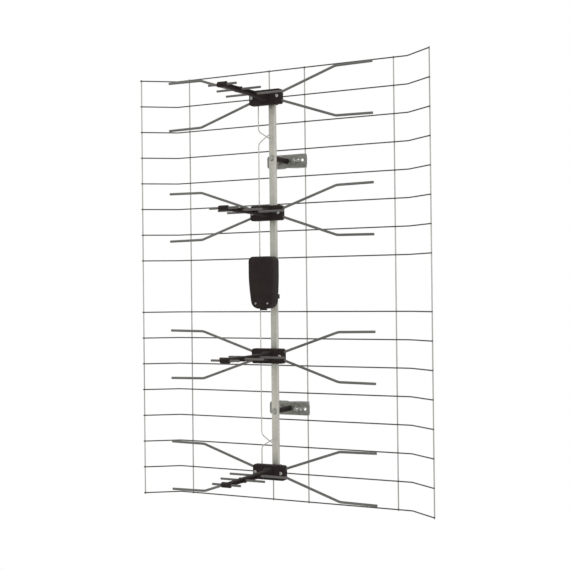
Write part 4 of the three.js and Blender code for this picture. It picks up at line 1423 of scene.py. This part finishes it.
@dataclass
class FeedLines:
    """Two bare wires above and two below the box, each pair crossing once."""

    diameter: float = 2.0
    x: float = 17.0
    plane: float = 77.5
    crossing_length: float = 34.0
    bow: float = 2.6
    outer_bay: float = field(default_factory=lambda: middle_of("director_arm_top").z)
    crossing_from_bay: dict[str, float] = field(
        default_factory=lambda: {"upper": 71.0, "lower": 56.0}
    )
    past_bay: float = 7.0
    end: float = 18.0
    bend: float = 11.2
    crossing_bend: float = 30.0

    def wire(self, side: int, bow: float, from_bay: float) -> Solid:
        """One wire above the box.

        Args:
            side: 1 where it starts on the right.
            bow: how far it steps forwards where it crosses.
            from_bay: the crossing's distance below the outer bay.

        Returns:
            The closed wire.
        """
        y = ahead(self.plane)
        crossing = self.outer_bay - from_bay
        rise = self.x / math.tan(math.atan(math.pi * self.x / self.crossing_length))
        corners = [
            (side * self.x, y, self.outer_bay + self.past_bay),
            (side * self.x, y, crossing + rise),
            (0, y - bow, crossing),
            (-side * self.x, y, crossing - rise),
            (-side * self.x, y, self.end),
        ]
        bends = [self.bend, self.crossing_bend, self.bend]
        return drawn_rod(corners, bends, self.diameter / 2, sides=12, chamfer=0.2, steps=6)

    def build(self) -> None:
        """Places the four wires."""
        for half, from_bay in self.crossing_from_bay.items():
            for place, side, bow in (("front", 1, self.bow), ("back", -1, -self.bow)):
                shape = self.wire(side, bow, from_bay)
                if half == "lower":
                    shape.mirrored(2)
                node = f"feed_wire_{half}_{place}"
                Piece(f"feed_line_{half}_{place}", shape, FEED, stands_for=(node,)).place()


@dataclass
class ConnectionBox:
    """The box at the middle: base, hinged lid, board, grommet and two screws."""

    top: float = 50.0
    bottom: float = -43.0
    half_width: float = 24.4
    foot_half_width: float = 22.4
    lid_foot_half_width: float = 21.6
    lid_foot_recess: float = 4.0
    recess_power: float = 2.0
    taper_start: float = 16.0
    taper_power: float = 1.4
    top_corner: float = 9.0
    bottom_corner: float = 16.0
    least_corner: float = 1.0
    foot_arc: float = math.radians(66)
    steps: int = 8  # in each corner and along each tapering side
    wall: float = 2.0
    back: float = 70.0
    back_edge: float = 1.5
    shoulder: float = 83.0
    back_slope: float = 0.56
    parting: float = 103.0
    front: float = 110.5
    lid_edge: float = 6.0
    hook_x: float = 14.0
    hook_width: float = 6.0
    hook_root: float = 3.0
    hook_reach: float = 5.0
    hook_thickness: float = 1.6
    hook_lip: float = 1.5
    hook_rise: float = 1.65
    hook_play: float = 0.6
    screw: PanScrew = PanScrew(3.0, 5.0, 1.6, 7.5, 0.8)
    screw_x: float = 12.0
    screw_z: float = -33.5
    seat: float = 103.6  # of the screws' heads
    pocket: float = 6.6
    tube: float = 9.4
    boss: float = 6.8
    saddles: tuple[Saddle, ...] = (
        Saddle(-21.5, 8.0, 1.6, Boom.depth),
        Saddle(25.0, 20.0, 1.6, 4.0),
    )
    post_x: float = 10.0
    post_z: tuple[float, float] = (32.0, -24.0)
    post: float = 5.0
    board_back: float = 84.0
    board_thickness: float = 1.6
    board_margin: float = 1.5
    board_span: tuple[float, float] = (-30.0, 38.0)
    can: tuple[float, float, float] = (22.0, 6.0, 30.0)
    can_bottom: float = -4.0
    can_round: float = 0.8
    terminal: float = 6.0
    terminal_past_wire: float = 1.2
    terminal_past_end: float = 2.0
    grommet_distance: float = 96.0
    grommet_bore: float = 6.8
    grommet_neck: float = 9.6
    grommet_flange: float = 13.0
    collar: float = 2.6  # height of the grommet's flange under the floor
    collar_round: tuple[float, float] = (1.0, 0.3)  # run of its round edge, and of its middle
    bore_edge: float = 0.4
    barb: tuple[float, float, float] = (0.8, 1.6, 2.2)  # drawn in below and above, and height

    def drawn_in(self, distance: float) -> float:
        """How far the outside lies within the widest outline at a distance in front.

        Args:
            distance: from the reflector.

        Returns:
            The inset in millimetres.
        """
        back = max(self.shoulder - distance, 0.0) * self.back_slope
        chamfer = max(self.back + self.back_edge - distance, 0.0)
        ahead_of_edge = min(max(distance - self.front + self.lid_edge, 0.0), self.lid_edge)
        return back + chamfer + self.lid_edge - math.sqrt(self.lid_edge**2 - ahead_of_edge**2)

    def foot_at(self, distance: float) -> float:
        """Half the width at the bottom corners of the outline at a distance in front.

        Args:
            distance: from the reflector.

        Returns:
            Half the width in millimetres.
        """
        run = self.front - self.lid_edge - self.shoulder
        share = min(max((distance - self.shoulder) / run, 0.0), 1.0)
        return self.foot_half_width + (self.lid_foot_half_width - self.foot_half_width) * share

    def down_at(self, z: float) -> float:
        """How far down the tapering sides a height lies, from 0 to 1 at the foot."""
        foot = self.bottom + self.bottom_corner
        return min(max((self.taper_start - z) / (self.taper_start - foot), 0.0), 1.0)

    def side_at(self, z: float, distance: float) -> float:
        """Half the width at a height on the tapering sides, at a distance in front."""
        drawn = (self.half_width - self.foot_at(distance)) * self.down_at(z) ** self.taper_power
        return self.half_width - drawn

    def skin_y(self, z: float, distance: float) -> float:
        """The Y of the skin at a height, where it lies at a distance in front higher up.

        Args:
            z: the height.
            distance: from the reflector.

        Returns:
            The Y in millimetres.
        """
        share = min(max((distance - self.parting) / (self.front - self.parting), 0.0), 1.0)
        recess = self.lid_foot_recess * share * self.down_at(z) ** self.recess_power
        return ahead(distance - recess)

    def ring(self, distance: float, inset: float) -> list[tuple[float, float, float]]:
        """The outline at a distance in front, drawn in by an inset.

        Args:
            distance: from the reflector.
            inset: in millimetres.

        Returns:
            Its corners, counted anticlockwise seen from the front.
        """
        corners = (self.top_corner, self.bottom_corner)
        high, low = (max(corner - inset, self.least_corner) for corner in corners)
        foot = self.foot_at(distance) - inset
        foot_z = self.bottom + inset + low
        right = []
        for k in range(self.steps + 1):
            a = -math.pi / 2 + k / self.steps * self.foot_arc
            right.append((foot - low + low * math.cos(a), foot_z + low * math.sin(a)))
        for k in range(self.steps + 1):
            z = foot_z + (self.taper_start - foot_z) * k / self.steps
            right.append((self.side_at(z, distance) - inset, z))
        centre_x, centre_z = self.half_width - inset - high, self.top - inset - high
        for k in range(self.steps + 1):
            a = k / self.steps * math.pi / 2
            right.append((centre_x + high * math.cos(a), centre_z + high * math.sin(a)))
        outline = right + [(-x, z) for x, z in reversed(right)]
        return [(x, self.skin_y(z, distance), z) for x, z in outline]

    def skin(self, distances: Sequence[float], wall: float = 0.0) -> Solid:
        """The box's solid shape through growing distances, drawn in by a wall."""
        return Solid.lofted([self.ring(d, self.drawn_in(d) + wall) for d in distances])

    def at_screws(self, radius: float, near: float, far: float) -> list[Solid]:
        """Bars at the two lid screws, between two distances."""
        both = (self.screw_x, -self.screw_x)
        return [Solid.pin(x, self.screw_z, near, far, radius) for x in both]

    def _columns(self, floor: float) -> list[Solid]:
        """The posts under the board and the screws' bosses, which stand on the floor.

        Args:
            floor: the distance of the floor's inner face.

        Returns:
            The bars.
        """
        posts = [
            Solid.pin(x, z, floor - OVERCUT, self.board_back - SEAT_GAP, self.post / 2)
            for x in (self.post_x, -self.post_x)
            for z in self.post_z
        ]
        boss_front = self.seat - self.wall - SEAT_GAP
        return posts + self.at_screws(self.boss / 2, floor - OVERCUT, boss_front)

    def _base_cutters(self) -> list[Solid]:
        """The holes in the base: for screws, wires, hooks and the grommet.

        Returns:
            The cutters.
        """
        cutters = self.at_screws(
            self.screw.diameter / 2 + FIT,
            self.seat - self.screw.length - OVERCUT,
            self.parting + OVERCUT,
        )
        low, high = self.bottom - OVERCUT, self.top + OVERCUT
        y = ahead(FeedLines.plane)
        for x in (FeedLines.x, -FeedLines.x):
            cutters.append(Solid.bar((x, y, low), (x, y, high), FeedLines.diameter / 2 + FIT))
        back = self.parting - self.hook_reach - self.hook_play
        half = self.hook_width / 2 + 2 * FIT
        under = self.top - self.wall - OVERCUT
        for x in (self.hook_x, -self.hook_x):
            front = back + self.hook_lip + 2 * self.hook_play
            cutters.append(
                Solid.block((x - half, ahead(front), under), (x + half, ahead(back), high))
            )
        y = ahead(self.grommet_distance)
        top = self.bottom + 2 * self.wall
        cutters.append(Solid.bar((0, y, low), (0, y, top), self.grommet_neck / 2 + FIT))
        return cutters

    def base(self) -> Solid:
        """The base: a tray with posts, wire holes and two saddles for the boom.

        Returns:
            The closed base.
        """
        floor = self.back + self.wall
        shell = self.skin([self.back, self.back + self.back_edge, self.shoulder, self.parting])
        hollow = self.skin([floor, self.shoulder, self.parting + OVERCUT], self.wall)
        shell.cut(hollow.cut(*self._columns(floor)))
        shell.join(*[saddle.shape(floor) for saddle in self.saddles])
        return shell.cut(*self._base_cutters())

    def _hooks(self, near: float) -> list[Solid]:
        """The two hooks that catch in the base's top wall.

        Args:
            near: the distance of the lid's rim.

        Returns:
            Three blocks for each hook.
        """
        top = self.top - self.wall - FIT
        under = top - self.hook_thickness
        root, back = near + self.hook_root, self.parting - self.hook_reach
        half = self.hook_width / 2
        hooks = []
        for x in (self.hook_x, -self.hook_x):
            left, right = x - half, x + half
            hooks += [
                Solid.block((left, ahead(root), under), (right, ahead(near), self.top - OVERCUT)),
                Solid.block((left, ahead(root), under), (right, ahead(back), top)),
                Solid.block(
                    (left, ahead(back + self.hook_lip), under),
                    (right, ahead(back), top + self.hook_rise),
                ),
            ]
        return hooks

    def lid(self) -> Solid:
        """The lid: a crowned cap with two screw pockets, and two hooks at its top.

        Returns:
            The closed lid.
        """
        near, inner = self.parting + SEAT_GAP, self.front - self.wall
        edge = [
            self.front - self.lid_edge + self.lid_edge * math.sin(math.pi / 2 * k / self.steps)
            for k in range(self.steps + 1)
        ]
        hollow = self.skin([near - OVERCUT, *[d for d in edge if d < inner], inner], self.wall)
        hollow.cut(*self.at_screws(self.tube / 2, near - 2 * OVERCUT, self.front + OVERCUT))
        cap = self.skin([near, *edge]).cut(hollow)
        inside = self.skin([self.shoulder, near + OVERCUT], self.wall + FIT)
        spigots = [
            s.within(inside)
            for s in self.at_screws(self.boss / 2, self.seat - self.wall, near + OVERCUT)
        ]
        cap.join(*spigots, *self._hooks(near))
        return cap.cut(
            *self.at_screws(self.pocket / 2, self.seat, self.front + OVERCUT),
            *self.at_screws(self.screw.diameter / 2 + FIT, near - 2 * self.wall, self.front),
        )

    def grommet(self) -> Solid:
        """The rubber ring in the floor of the box.

        Returns:
            The closed ring.
        """
        inner, neck, flange = self.grommet_bore / 2, self.grommet_neck / 2, self.grommet_flange / 2
        low, high = self.bottom - SEAT_GAP, self.bottom + self.wall + SEAT_GAP
        foot, (run, middle), (below, above, rise) = low - self.collar, self.collar_round, self.barb
        profile = [
            (inner, foot + self.bore_edge),
            (inner + self.bore_edge, foot),
            (flange - run, foot),
            (flange - middle, foot + middle),
            (flange, foot + run),
            (flange, low),
            (neck, low),
            (neck, high),
            (flange - below, high),
            (flange - above, high + rise),
            (inner, high + rise),
        ]
        return Solid.turned(profile, (0, ahead(self.grommet_distance), 0), (0, 0, 1), sides=40)

    def board(self) -> None:
        """Places the board with its shield can and its terminals."""
        low, high = self.board_span
        front = self.board_back + self.board_thickness
        margin = self.wall + self.board_margin
        plate = Solid.lofted([self.ring(d, margin) for d in (self.board_back, front)])
        wide = self.half_width
        plate.within(Solid.block((-wide, ahead(self.parting), low), (wide, ahead(self.back), high)))
        Piece("circuit_board", plate, BOARD, stands_for=("box_board",), soften=0.1).place()
        width, depth, height = self.can
        can = Solid.block(
            (-width / 2, ahead(front + depth), self.can_bottom),
            (width / 2, ahead(front), self.can_bottom + height),
        )
        can.rounded(self.can_round, 3, lambda edge: True)
        Piece("shield_can", can, TINPLATE).place()
        near = FeedLines.plane + FeedLines.diameter / 2 + FIT
        half = self.terminal / 2
        end = FeedLines.end + self.terminal_past_end
        for side, sign in (("left", -1), ("right", 1)):
            x = sign * (FeedLines.x + self.terminal_past_wire - half)
            for place, z in (("upper", end), ("lower", -end)):
                block = Solid.block(
                    (x - half, ahead(self.board_back), z - half), (x + half, ahead(near), z + half)
                )
                Piece(f"board_terminal_{side}_{place}", block, TINPLATE, soften=0.3).place()

    def build(self) -> None:
        """Places the box and its pieces."""
        Piece("box_tray", self.base(), PLASTIC, stands_for=("box_base",), soften=0.2).place()
        Piece(
            "box_cover", self.lid(), PLASTIC, Body.LID, stands_for=("box_lid",), soften=0.2
        ).place()
        Piece("cable_grommet", self.grommet(), RUBBER, stands_for=("box_grommet",)).place()
        self.board()
        for side, x in (("left", -self.screw_x), ("right", self.screw_x)):
            shape = self.screw.shape(x, self.screw_z, self.seat + SEAT_GAP)
            Piece(
                f"cover_screw_{side}", shape, BRIGHT, Body.LID, stands_for=(f"lid_screw_{side}",)
            ).place()


@dataclass
class Clamp:
    """A clamp: folded bracket, spacer, bolt, U-bolt and its two nuts."""

    grip: float = 28.0
    notch_to_web: float = 0.5
    sheet: float = 2.0
    fold: float = 3.0
    height: float = 25.0
    past_upright: float = 4.3
    corner: float = 6.0
    corner_span: tuple[float, float] = (-40.0, 10.0)  # Y of the waste outside the corners
    notch: float = 20.0  # cut back from the notch's apex, past the flanges' ends
    past_contact: float = 3.0
    slope: float = 0.58  # of the flanges' ends, drawn in as they run back
    slot_run: float = 5.0
    leg_play: float = 0.375  # round a leg in its slot
    spare_from_leg: float = 14.0
    spare: float = 6.4
    press_nut: tuple[float, float] = (9.0, 3.6)
    press_nut_edge: float = 0.6
    rod: float = 6.0
    rod_pitch: float = 1.0
    plain_from_web: float = 6.0  # where the U-bolt's threads end, behind the web
    slack: float = 1.0
    past_nut: float = 7.0
    nut_across: float = 10.0
    nut_height: float = 5.0
    spacer: float = 10.0
    bolt: float = 5.0
    bolt_pitch: float = 0.8
    head_across: float = 8.0
    head_height: float = 3.4
    flange: tuple[float, float] = (10.5, 1.2)
    flange_edge: tuple[float, float] = (0.86, 0.4)  # shares of its radius and height left

    @property
    def apex(self) -> float:
        """The distance from the round's axis to the notch's apex."""
        return self.grip / 2 * math.sqrt(2)

    @property
    def web_back(self) -> float:
        """The Y of the web's back face."""
        return -(self.apex + self.notch_to_web)

    @property
    def web_front(self) -> float:
        """The Y of the web's front face."""
        return self.web_back - self.sheet

    @property
    def leg(self) -> float:
        """The X of a leg of the U-bolt."""
        return self.grip / 2 + self.slack + self.rod / 2

    def _fold(self, radius: float, inset: float, steps: int = 6) -> list[tuple[float, float]]:
        """Y and Z along the upper fold, from the flange to the web.

        Args:
            radius: of the fold.
            inset: 0 outside, the sheet's thickness inside.
            steps: in the arc.

        Returns:
            The Y and Z of each point.
        """
        turns = [math.pi / 2 * k / steps for k in range(steps + 1)]
        y, z = self.web_front + inset + radius, self.height / 2 - inset - radius
        return [(y - radius * math.sin(a), z + radius * math.cos(a)) for a in turns]

    def bracket(self) -> Solid:
        """The folded bracket, centred on the clamp's height.

        Returns:
            The closed bracket.
        """
        half = Reflector.uprights[0] + self.past_upright
        tip = self.past_contact - self.grip / 2 / math.sqrt(2)
        tall = self.height / 2
        outer = [(tip, tall), *self._fold(self.fold, 0.0)]
        inner = [(tip, tall - self.sheet), *self._fold(self.fold - self.sheet, self.sheet)]
        upper = outer + [(y, -z) for y, z in reversed(outer)]
        lower = [(y, -z) for y, z in inner] + list(reversed(inner))
        section = [(-half, y, z) for y, z in upper + lower]
        channel = Solid.prism(section, (2 * half, 0, 0))
        return channel.cut(*self._bracket_cutters(half, tip))

    def _bracket_cutters(self, half: float, tip: float) -> list[Solid]:
        """Everything that is cut out of the folded sheet.

        Args:
            half: half the bracket's length.
            tip: the Y of the flanges' ends.

        Returns:
            The cutters.
        """
        tall, web, notch = self.height, self.web_back, self.notch - self.apex
        cutters = [self._prism([(0, -self.apex), (self.notch, notch), (-self.notch, notch)])]
        slot, radius = Reflector.wire / 2 + FIT, self.rod / 2 + self.leg_play
        front, back = self._through
        for side in (1, -1):
            x = side * Reflector.uprights[0]
            behind = tip + 5 * OVERCUT
            cutters.append(Solid.block((x - slot, web, -tall), (x + slot, behind, tall)))
            edge, end = side * half, tip + OVERCUT
            past, drawn = edge + side * OVERCUT, edge - side * (end - web) * self.slope
            cutters.append(self._prism([(edge, web), (past, web), (past, end), (drawn, end)]))
            for up in (1, -1):
                cutters.append(self._corner(side, up, half))
            near, far = side * self.leg, side * (self.leg + self.slot_run)
            cutters += [self._across(near, radius), self._across(far, radius)]
            low, high = sorted((near, far))
            cutters.append(Solid.block((low, front, -radius), (high, back, radius)))
            cutters.append(self._across(side * (self.leg + self.spare_from_leg), self.spare / 2))
        cutters.append(self._across(0, self.bolt / 2 + FIT))
        return cutters

    def _prism(self, corners: Sequence[tuple[float, float]]) -> Solid:
        """An outline in X and Y as a prism, twice as tall as the bracket."""
        tall = self.height
        return Solid.prism([(x, y, -tall) for x, y in corners], (0, 0, 2 * tall))

    @property
    def _through(self) -> tuple[float, float]:
        """The Y of the two ends of a cutter that goes through the web."""
        return self.web_front - 3 * OVERCUT, self.web_back + 3 * OVERCUT

    def _across(self, x: float, radius: float) -> Solid:
        """A bar through the web at a place along it."""
        front, back = self._through
        return Solid.bar((x, front, 0), (x, back, 0), radius)

    def _corner(self, side: int, up: int, half: float) -> Solid:
        """The waste outside one round corner of the bracket, seen from the front.

        Args:
            side: 1 for the right corners, -1 for the left ones.
            up: 1 for the upper corner, -1 for the lower one.
            half: half the bracket's length.

        Returns:
            The cutter.
        """
        x, z = side * (half - self.corner), up * (self.height / 2 - self.corner)
        far, past = self.corner + 2 * OVERCUT, 2 * OVERCUT
        left, right = sorted((x, x + side * far))
        low, high = sorted((z, z + up * far))
        front, back = self.corner_span
        block = Solid.block((left, front, low), (right, back, high))
        core = Solid.bar((x, front - past, z), (x, back + past, z), self.corner, sides=48)
        return block.cut(core)

    def bolt_shape(self) -> Solid:
        """The bolt that goes through boom and spacer, with its hexagon head and flange.

        Returns:
            The shape, with its head and its thread as loose shells.
        """
        under = ahead(BOOM_DISTANCE) - SEAT_GAP
        tip = self.web_back + self.press_nut[1]
        radius, thick = self.flange[0] / 2, self.flange[1]
        left, rim = self.flange_edge
        profile = [(0, 0), (radius, 0), (radius, rim * thick), (left * radius, thick), (0, thick)]
        shape = Solid.turned(profile, (0, under, 0), (0, -1, 0))
        head = hexagon(self.head_across, self.head_height).moved(y=under - thick / 2)
        start = (0, under - THREAD_OVERLAP, 0)
        thread = threaded_rod(start, (0, 1, 0), tip - under, self.bolt / 2, self.bolt_pitch)
        return shape.with_loose(head, thread)

    def u_bolt(self) -> Solid:
        """The U-bolt with its threaded legs.

        Returns:
            The bow, with its two threads as loose shells.
        """
        tip = self.web_front - SEAT_GAP - self.nut_height - self.past_nut
        shoulder = self.web_back + self.plain_from_web
        corners = [
            (self.leg, shoulder, 0),
            (self.leg, self.leg - self.slack, 0),
            (-self.leg, self.leg - self.slack, 0),
            (-self.leg, shoulder, 0),
        ]
        bow = drawn_rod(corners, [self.leg - TOUCH] * 2, self.rod / 2, sides=20, steps=12)
        length, radius = shoulder - tip + 2 * THREAD_OVERLAP, self.rod / 2
        for x in (self.leg, -self.leg):
            bow.with_loose(threaded_rod((x, tip, 0), (0, 1, 0), length, radius, self.rod_pitch))
        return bow

    def nut(self, x: float) -> Solid:
        """A leg nut on its leg.

        Args:
            x: of the leg.

        Returns:
            The closed nut.
        """
        shape = hexagon(self.nut_across, self.nut_height)
        shape.moved(x=x, y=self.web_front - SEAT_GAP)
        start, end = self.web_front + self.nut_height, self.web_front - 3 * self.nut_height
        bore = self.rod / 2 + THREAD_PLAY
        return shape.cut(Solid.bar((x, start, 0), (x, end, 0), bore, sides=32))

    def spacer_shape(self) -> Solid:
        """The spacer between boom and bracket, with its bore.

        Returns:
            The closed ring.
        """
        low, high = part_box("clamp_spacer_upper")
        near, far = high.y / MM, low.y / MM
        bore = Solid.bar((0, near + OVERCUT, 0), (0, far - OVERCUT, 0), self.bolt / 2 + FIT)
        return Solid.bar((0, near, 0), (0, far, 0), self.spacer / 2, sides=36).cut(bore)

    def press_nut_shape(self) -> Solid:
        """The nut that is pressed into the bracket's web.

        Returns:
            The closed ring.
        """
        width, height = self.press_nut
        bore, edge = self.bolt / 2 + THREAD_PLAY, self.press_nut_edge
        rim = [(width / 2, 0), (width / 2, height - edge), (width / 2 - edge, height)]
        profile = [(bore, 0), *rim, (bore, height)]
        return Solid.turned(profile, (0, self.web_back, 0), (0, 1, 0))

    def pieces(self) -> list[Repeated]:
        """The pieces of one clamp, at height 0.

        Returns:
            The pieces in the order in which they are placed.
        """
        pieces = [
            Repeated("bracket", self.bracket(), SHEET, "clamp_bracket", soften=0.25),
            Repeated("press_nut", self.press_nut_shape(), SHEET),
            Repeated("spacer", self.spacer_shape(), PLASTIC, "clamp_spacer", soften=0.3),
            Repeated("boom_bolt", self.bolt_shape(), BRIGHT, "clamp_bolt"),
            Repeated("bow", self.u_bolt(), ZINC_ROD, "u_bolt", "u_bolt"),
        ]
        for side, x in (("left", -self.leg), ("right", self.leg)):
            nut, node = self.nut(x), f"u_bolt_nut_{side}"
            pieces.append(Repeated(f"leg_nut_{side}", nut, BRIGHT, node, f"nut_{side}"))
        return pieces

    def build(self) -> None:
        """Places both clamps, which are alike."""
        pieces = self.pieces()
        for clamp in ("upper", "lower"):
            for piece in pieces:
                piece.place(clamp, middle_of(f"clamp_bracket_{clamp}").z)


HEXAGON_CROWN = 0.98  # share of the width over the flats that stays flat on top


def hexagon(across: float, height: float) -> Solid:
    """A hexagon head or nut that starts at Y 0 and runs forwards, its corners turned off.

    Args:
        across: over the flats.
        height: along Y.

    Returns:
        The closed shape.
    """
    circumradius = across / math.sqrt(3)
    body = Solid.bar((0, 0, 0), (0, -height, 0), circumradius, sides=6)
    crown = across / 2 * HEXAGON_CROWN
    wide, slope = crown + 2 * OVERCUT, circumradius - across / 2
    profile = [
        (0, -OVERCUT),
        (wide, -OVERCUT),
        (wide, height - slope - OVERCUT),
        (crown, height),
        (0, height),
    ]
    return body.within(Solid.turned(profile, (0, 0, 0), (0, -1, 0), sides=36))


@dataclass(frozen=True)
class Lamp:
    """A square soft light that faces a point."""

    name: str
    place: tuple[float, float, float]
    size: float
    power: float

    def build(self, target: Vector) -> None:
        """Adds the lamp, facing the target.

        Args:
            target: the point that it faces.
        """
        data = bpy.data.lights.new(self.name, "AREA")
        data.shape = "SQUARE"
        data.size = self.size
        data.energy = self.power
        made = bpy.data.objects.new(self.name, data)
        made.location = self.place
        made.rotation_euler = (target - Vector(self.place)).to_track_quat("-Z", "Y").to_euler()
        bpy.context.scene.collection.objects.link(made)


@dataclass
class Studio:
    """Camera, lamps, white surroundings and a pale floor."""

    azimuth: float = 27.926
    tilt: float = 0.45
    roll: float = -0.614
    stand: tuple[float, float, float] = (986.3, -1874.7, -17.2)  # from the reflector's plane
    focal_pixels: float = 1141.6
    image_pixels: float = 570.0
    sensor: float = 36.0
    floor_drop: float = 0.6  # metres from the antenna's foot to the floor
    floor_radius: float = 30.0  # metres
    floor_colour: str = "#f4f4f2"
    floor_glow: float = 0.88  # share of the floor's white that is plain, near the antenna
    fade: tuple[float, float] = (0.9, 1.9)  # metres over which the floor turns plain white
    ambient: float = 0.8
    lamps: tuple[Lamp, ...] = (
        Lamp("key_light", (-2.6, -1.6, 2.2), 1.6, 14.0),
        Lamp("fill_light", (1.9, -2.3, 0.5), 0.7, 13.0),
        Lamp("back_light", (0.6, 2.2, 1.8), 1.6, 5.0),
    )

    def camera(self) -> None:
        """Adds the camera at the photographed angle."""
        data = bpy.data.cameras.new("camera")
        data.sensor_width = self.sensor
        data.lens = self.sensor * self.focal_pixels / self.image_pixels
        made = bpy.data.objects.new("camera", data)
        x, y, z = self.stand
        turn = (
            Matrix.Rotation(math.radians(self.azimuth), 4, "Z")
            @ Matrix.Rotation(math.radians(90 + self.tilt), 4, "X")
            @ Matrix.Rotation(math.radians(self.roll), 4, "Z")
        )
        made.matrix_world = Matrix.Translation((x * MM, (y + REFLECTOR_Y) * MM, z * MM)) @ turn
        bpy.context.scene.collection.objects.link(made)
        bpy.context.scene.camera = made

    def seen_directly(self, tree: bpy.types.NodeTree) -> bpy.types.NodeSocket:
        """A value of 1 for camera, mirror and glass rays, and of 0 for light on the object.

        Args:
            tree: the node tree of a material or the world.

        Returns:
            The socket that gives the value.
        """
        path = add_node(tree, "ShaderNodeLightPath").outputs
        shown = path["Is Camera Ray"]
        for other in (path["Is Glossy Ray"], path["Is Transmission Ray"]):
            inputs = {0: shown, 1: other}
            shown = add_node(tree, "ShaderNodeMath", inputs, operation="MAXIMUM").outputs["Value"]
        return shown

    def surroundings(self) -> None:
        """Sets the world: white where it is seen, and a softer light elsewhere."""
        world = bpy.data.worlds.new("surroundings")
        bpy.context.scene.world = world
        world.use_nodes = True
        tree = world.node_tree
        tree.nodes.clear()
        inputs = {"Value": self.seen_directly(tree), "To Min": self.ambient}
        strength = add_node(tree, "ShaderNodeMapRange", inputs).outputs["Result"]
        inputs = {"Strength": strength, "Color": (1, 1, 1, 1)}
        light = add_node(tree, "ShaderNodeBackground", inputs).outputs["Background"]
        add_node(tree, "ShaderNodeOutputWorld", {"Surface": light})

    def floor(self) -> None:
        """Adds the pale floor, which keeps a soft shadow."""
        bm = bmesh.new()
        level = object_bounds()[0].z - self.floor_drop
        down = Matrix.Translation((0, 0, level))
        bmesh.ops.create_circle(
            bm, cap_ends=True, radius=self.floor_radius, segments=64, matrix=down
        )
        mesh = bpy.data.meshes.new("floor")
        bm.to_mesh(mesh)
        bm.free()
        material = bpy.data.materials.new("pale_floor")
        material.use_nodes = True
        tree = material.node_tree
        tree.nodes.clear()
        white = {"Color": linear(self.floor_colour)}
        matt = add_node(tree, "ShaderNodeBsdfDiffuse", white).outputs["BSDF"]
        glow = add_node(tree, "ShaderNodeEmission", {"Strength": 1.0}).outputs["Emission"]
        place = add_node(tree, "ShaderNodeTexCoord").outputs["Object"]
        flat = add_node(
            tree, "ShaderNodeVectorMath", {0: place, 1: (1.0, 1.0, 0.0)}, operation="MULTIPLY"
        ).outputs["Vector"]
        away = add_node(
            tree, "ShaderNodeVectorMath", {0: flat}, operation="LENGTH"
        ).outputs["Value"]
        near, far = self.fade
        plain = add_node(
            tree,
            "ShaderNodeMapRange",
            {"Value": away, "From Min": near, "From Max": far, "To Min": self.floor_glow},
        ).outputs["Result"]
        share = add_node(
            tree, "ShaderNodeMath", {0: self.seen_directly(tree), 1: plain}, operation="MULTIPLY"
        ).outputs["Value"]
        mixed = add_node(
            tree, "ShaderNodeMixShader", {"Fac": share, 1: matt, 2: glow}
        ).outputs["Shader"]
        add_node(tree, "ShaderNodeOutputMaterial", {"Surface": mixed})
        mesh.materials.append(material)
        made = bpy.data.objects.new("floor", mesh)
        bpy.context.scene.collection.objects.link(made)
        made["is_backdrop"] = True

    def build(self) -> None:
        """Sets up everything round the antenna."""
        bpy.context.scene.view_settings.view_transform = "Standard"
        self.camera()
        self.surroundings()
        self.floor()
        low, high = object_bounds()
        for lamp in self.lamps:
            lamp.build((low + high) / 2)


def main() -> None:
    """Builds the antenna and what stands round it."""
    logging.basicConfig(level=logging.INFO, format="%(message)s")
    for assembly in (Reflector(), Boom(), Bay(), FeedLines(), ConnectionBox(), Clamp()):
        assembly.build()
        log.info("%s done", type(assembly).__name__)
    Studio().build()


if __name__ == "__main__":
    main()
